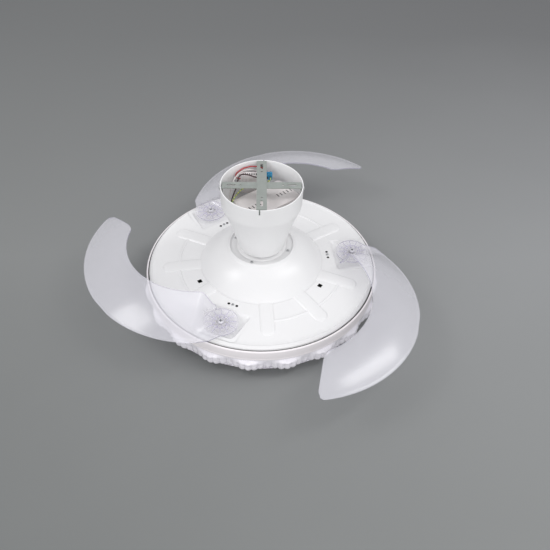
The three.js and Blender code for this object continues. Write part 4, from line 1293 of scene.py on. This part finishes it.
def makeBlade():
    sheet = makeBladeSheet()
    bottom = blade["hubHeight"] - blade["hubThickness"] / 2
    top = bottom + blade["hubThickness"]
    hub = rod("hub", blade["hubRadius"], bottom, top, steps=96)
    # the web fills the corners between the round hub and the blade's root
    root = [bladePoint(0, 0), bladePoint(0, 1)]
    root += [spot(blade["hubRadius"], azimuth) for azimuth in (270, 180, 135)]
    deselectAll()
    bpy.ops.mesh.primitive_circle_add(vertices=len(root), radius=1, fill_type="NGON")
    web = bpy.context.object
    for point, corner in zip(web.data.vertices, root):
        point.co = (corner.x * mm, corner.y * mm, bottom * mm)
    selectFaces(web, lambda face: True)
    rise = {"value": (0, 0, blade["hubThickness"] * mm)}
    bpy.ops.mesh.extrude_region_move(TRANSFORM_OT_translate=rise)
    endEdit()
    closeUp(web)
    for part in (hub, web):
        wear(part, clearSheet, clearEdge)
    combine(sheet, "UNION", hub)
    combine(sheet, "UNION", web)
    hole = rod("hole", blade["screwHole"], bottom - 1, top + 1)
    cutOut(sheet, hole, rod("headRoom", blade["headRoom"], top, top + 48.6, steps=40))
    softenEdges(sheet, 0.5, 2, 40)
    # upright faces are darker, as the edges of clear plastic are; the flat hub gets a lighter, clearer
    # copy of the plastic, painted light that offsets the shadow falling under it
    sheet.data.materials.append(litClearHub.material)
    for face in sheet.data.polygons:
        upright = abs(face.normal.z) < 0.35
        onHub = offAxis(face.center) < blade["hubRadius"]
        face.material_index = 1 if upright else 2 if onHub else 0
    # ribs, ring and pegs moulded on the hub
    parts = [sheet]
    for i in range(blade["spokes"]):
        turn = 360 / blade["spokes"] * (i + 0.5)
        spoke = roundedBlock("spoke", blade["spoke"], middle=(0, 0, top + 0.2))
        softenEdges(spoke, 0.3)
        parts.append(moved(spoke, placedAt(spot(blade["spokeCircle"], turn), turn)))
    for i in range(blade["pegs"]):
        turn = 360 / blade["pegs"] * i
        peg = rod("peg", blade["peg"], top - 2.2, top + 0.9, steps=20)
        softenEdges(peg, 0.4, 2)
        parts.append(moved(peg, placedAt(spot(blade["pegCircle"], turn))))
    near, far = blade["ring"]
    rows = [
        (near, top - 0.4), (near, top + 0.7), (near + 0.4, top + 1.0), (far - 0.4, top + 1.0),
        (far, top + 0.7), (far, top - 0.4), (near, top - 0.4),
    ]
    parts.append(turnedPiece("ring", rows, 72))
    for part in parts[1:]:
        wear(part, clearRib)
    return joined(*parts)


bladeMaster = makeBlade()
for i, (azimuth, opened) in enumerate(zip(fan["bladeAzimuths"], fan["openAngles"])):
    made = copyOf(bladeMaster, f"clearBlade{i + 1}")
    place = placedAt(spot(fan["pivotRadius"], azimuth, fan["discFlat"]), azimuth - 90 + opened)
    body, node = f"blade_unit_{i + 1}", f"blade_{i + 1}"
    finishPiece(moved(made, place), body, [node], "clear_plastic", angle=40)
bpy.data.objects.remove(bladeMaster)
print("blades made")


finishNodes = (
    (zinc, ["shaft_plate", "shaft_nut_upper", "shaft_nut_lower"]),
    (darkSteel, ["hollow_shaft", "shaft_spacer", "stator_core", "motor_housing"]),
    # the light tray wears dark steel as painted shade, darkening the gap round the disc
    (darkSteel, ["motor_bottom_cover", "magnet_ring", "light_tray"]),
    (screwSteel, ["bearing_upper", "bearing_lower", *[f"return_spring_{i}" for i in (1, 2, 3)]]),
    (whiteWire, ["shaft_lead"]),
    (copper, ["stator_winding"]),
    (boardWhite, ["lamp_board"]),
    (plasticWhite, ["shade_ring"]),
    (nylon, [f"{part}_{i}" for part in ("pivot_bush", "blade_arm") for i in (1, 2, 3)]),
    (nylon, [f"spring_post_{i}" for i in (1, 2, 3)]),
)
for finish, nodes in finishNodes:
    for node in nodes:
        wear(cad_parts[node], finish)


# fitted to the round edges in the photograph; metres, radians, and millimetres for the lens
view = {
    "place": (0, -1.02416, 0.76796),
    "pitch": 0.782838,
    "yaw": 0.029541,
    "roll": 0.023382,
    "lens": 42.25,
    "sensor": 36.0,
    "farthest": 30.0,
}
ahead = Vector((
    math.sin(view["yaw"]) * math.cos(view["pitch"]),
    math.cos(view["yaw"]) * math.cos(view["pitch"]),
    -math.sin(view["pitch"]),
))
right = ahead.cross(Vector((0, 0, 1))).normalized()
up = right.cross(ahead)
rolledRight = right * math.cos(view["roll"]) + up * math.sin(view["roll"])
rolledUp = up * math.cos(view["roll"]) - right * math.sin(view["roll"])
lens = bpy.data.cameras.new("photoCamera")
lens.lens = view["lens"]
lens.sensor_width = view["sensor"]
lens.clip_end = view["farthest"]
camera = bpy.data.objects.new("photoCamera", lens)
bpy.context.collection.objects.link(camera)
turn = Matrix((rolledRight, rolledUp, -ahead)).transposed()
camera.matrix_world = Matrix.Translation(view["place"]) @ turn.to_4x4()
bpy.context.scene.camera = camera
bpy.context.scene.view_settings.view_transform = "Standard"

# in metres; the floor's tones are painted light and shade: they run from the near edge of the picture to
# the far one, lighter towards the right
studio = {
    "floorSize": 12.0,
    "floorHeight": -0.2872,
    "paperDepth": (-0.6, 1.4),
    "paperWidth": (-0.7, 0.8),
    "leftTones": (
        (0, (0.165, 0.172, 0.169, 1)),
        (0.4, (0.24, 0.247, 0.244, 1)),
        (1, (0.218, 0.224, 0.223, 1)),
    ),
    "rightTones": (
        (0, (0.255, 0.263, 0.26, 1)),
        (0.4, (0.305, 0.312, 0.315, 1)),
        (1, (0.207, 0.211, 0.213, 1)),
    ),
    "worldTone": (0.97, 0.97, 1.0, 1),
    "worldStrength": 0.64,
}
deselectAll()
bpy.ops.mesh.primitive_plane_add(size=studio["floorSize"], location=(0, 0, studio["floorHeight"]))
floor = bpy.context.object
floor.name = "studioFloor"
paper = Finish("studioPaper", Roughness=0.95, Specular_IOR_Level=0.1)
depth = paper.spread(paper.sides("Y"), *studio["paperDepth"])
sideways = paper.spread(paper.sides("X"), *studio["paperWidth"])
# painted shadow: soft blotches of shade on the floor
shadow = paper.noise(3, 2) * 0.1
leftLitTone = paper.ramp(depth + shadow, studio["leftTones"])
rightLitTone = paper.ramp(depth + shadow, studio["rightTones"])
paper.feed("Base Color", paper.mixed(sideways, leftLitTone, rightLitTone))
wear(floor, paper)

world = bpy.data.worlds.new("studio")
bpy.context.scene.world = world
world.use_nodes = True
background = world.node_tree.nodes["Background"]
background.inputs["Color"].default_value = studio["worldTone"]
background.inputs["Strength"].default_value = studio["worldStrength"]


def softBox(name, place, target, size, power, along):
    # a rectangle of light whose long side follows a direction
    light = bpy.data.lights.new(name, "AREA")
    light.shape = "RECTANGLE"
    light.size, light.size_y = size
    light.energy = power
    lamp = bpy.data.objects.new(name, light)
    bpy.context.collection.objects.link(lamp)
    back = (Vector(place) - Vector(target)).normalized()
    short = back.cross(Vector(along)).normalized()
    turn = Matrix((short.cross(back), short, back)).transposed()
    lamp.matrix_world = Matrix.Translation(place) @ turn.to_4x4()


# name, place, target, size, power and direction of the long side; the left and right ones
# stand where the left and right blades mirror them towards the camera
longSide = (0.94, 0.85, -0.66)
lamps = (
    ("softBoxFront", (0.1, -1.85, 0.62), (0, 0, -0.2), (2.8, 0.9), 15.5, (1, 0, 0)),
    ("softBoxLeft", (-1.7, -0.3, 1.86), (-0.24, -0.18, -0.19), (0.9, 0.7), 13.5, (0.5, -0.85, 0)),
    ("softBoxRight", (1.52, -0.03, 1.87), (0.2, -0.32, -0.18), (1.5, 0.35), 13.5, longSide),
    ("softBoxTop", (0.4, 0.9, 2.4), (0, 0, -0.2), (2.0, 1.4), 3, (1, 0, 0)),
)
for lamp in lamps:
    softBox(*lamp)
print("camera, floor and light made")
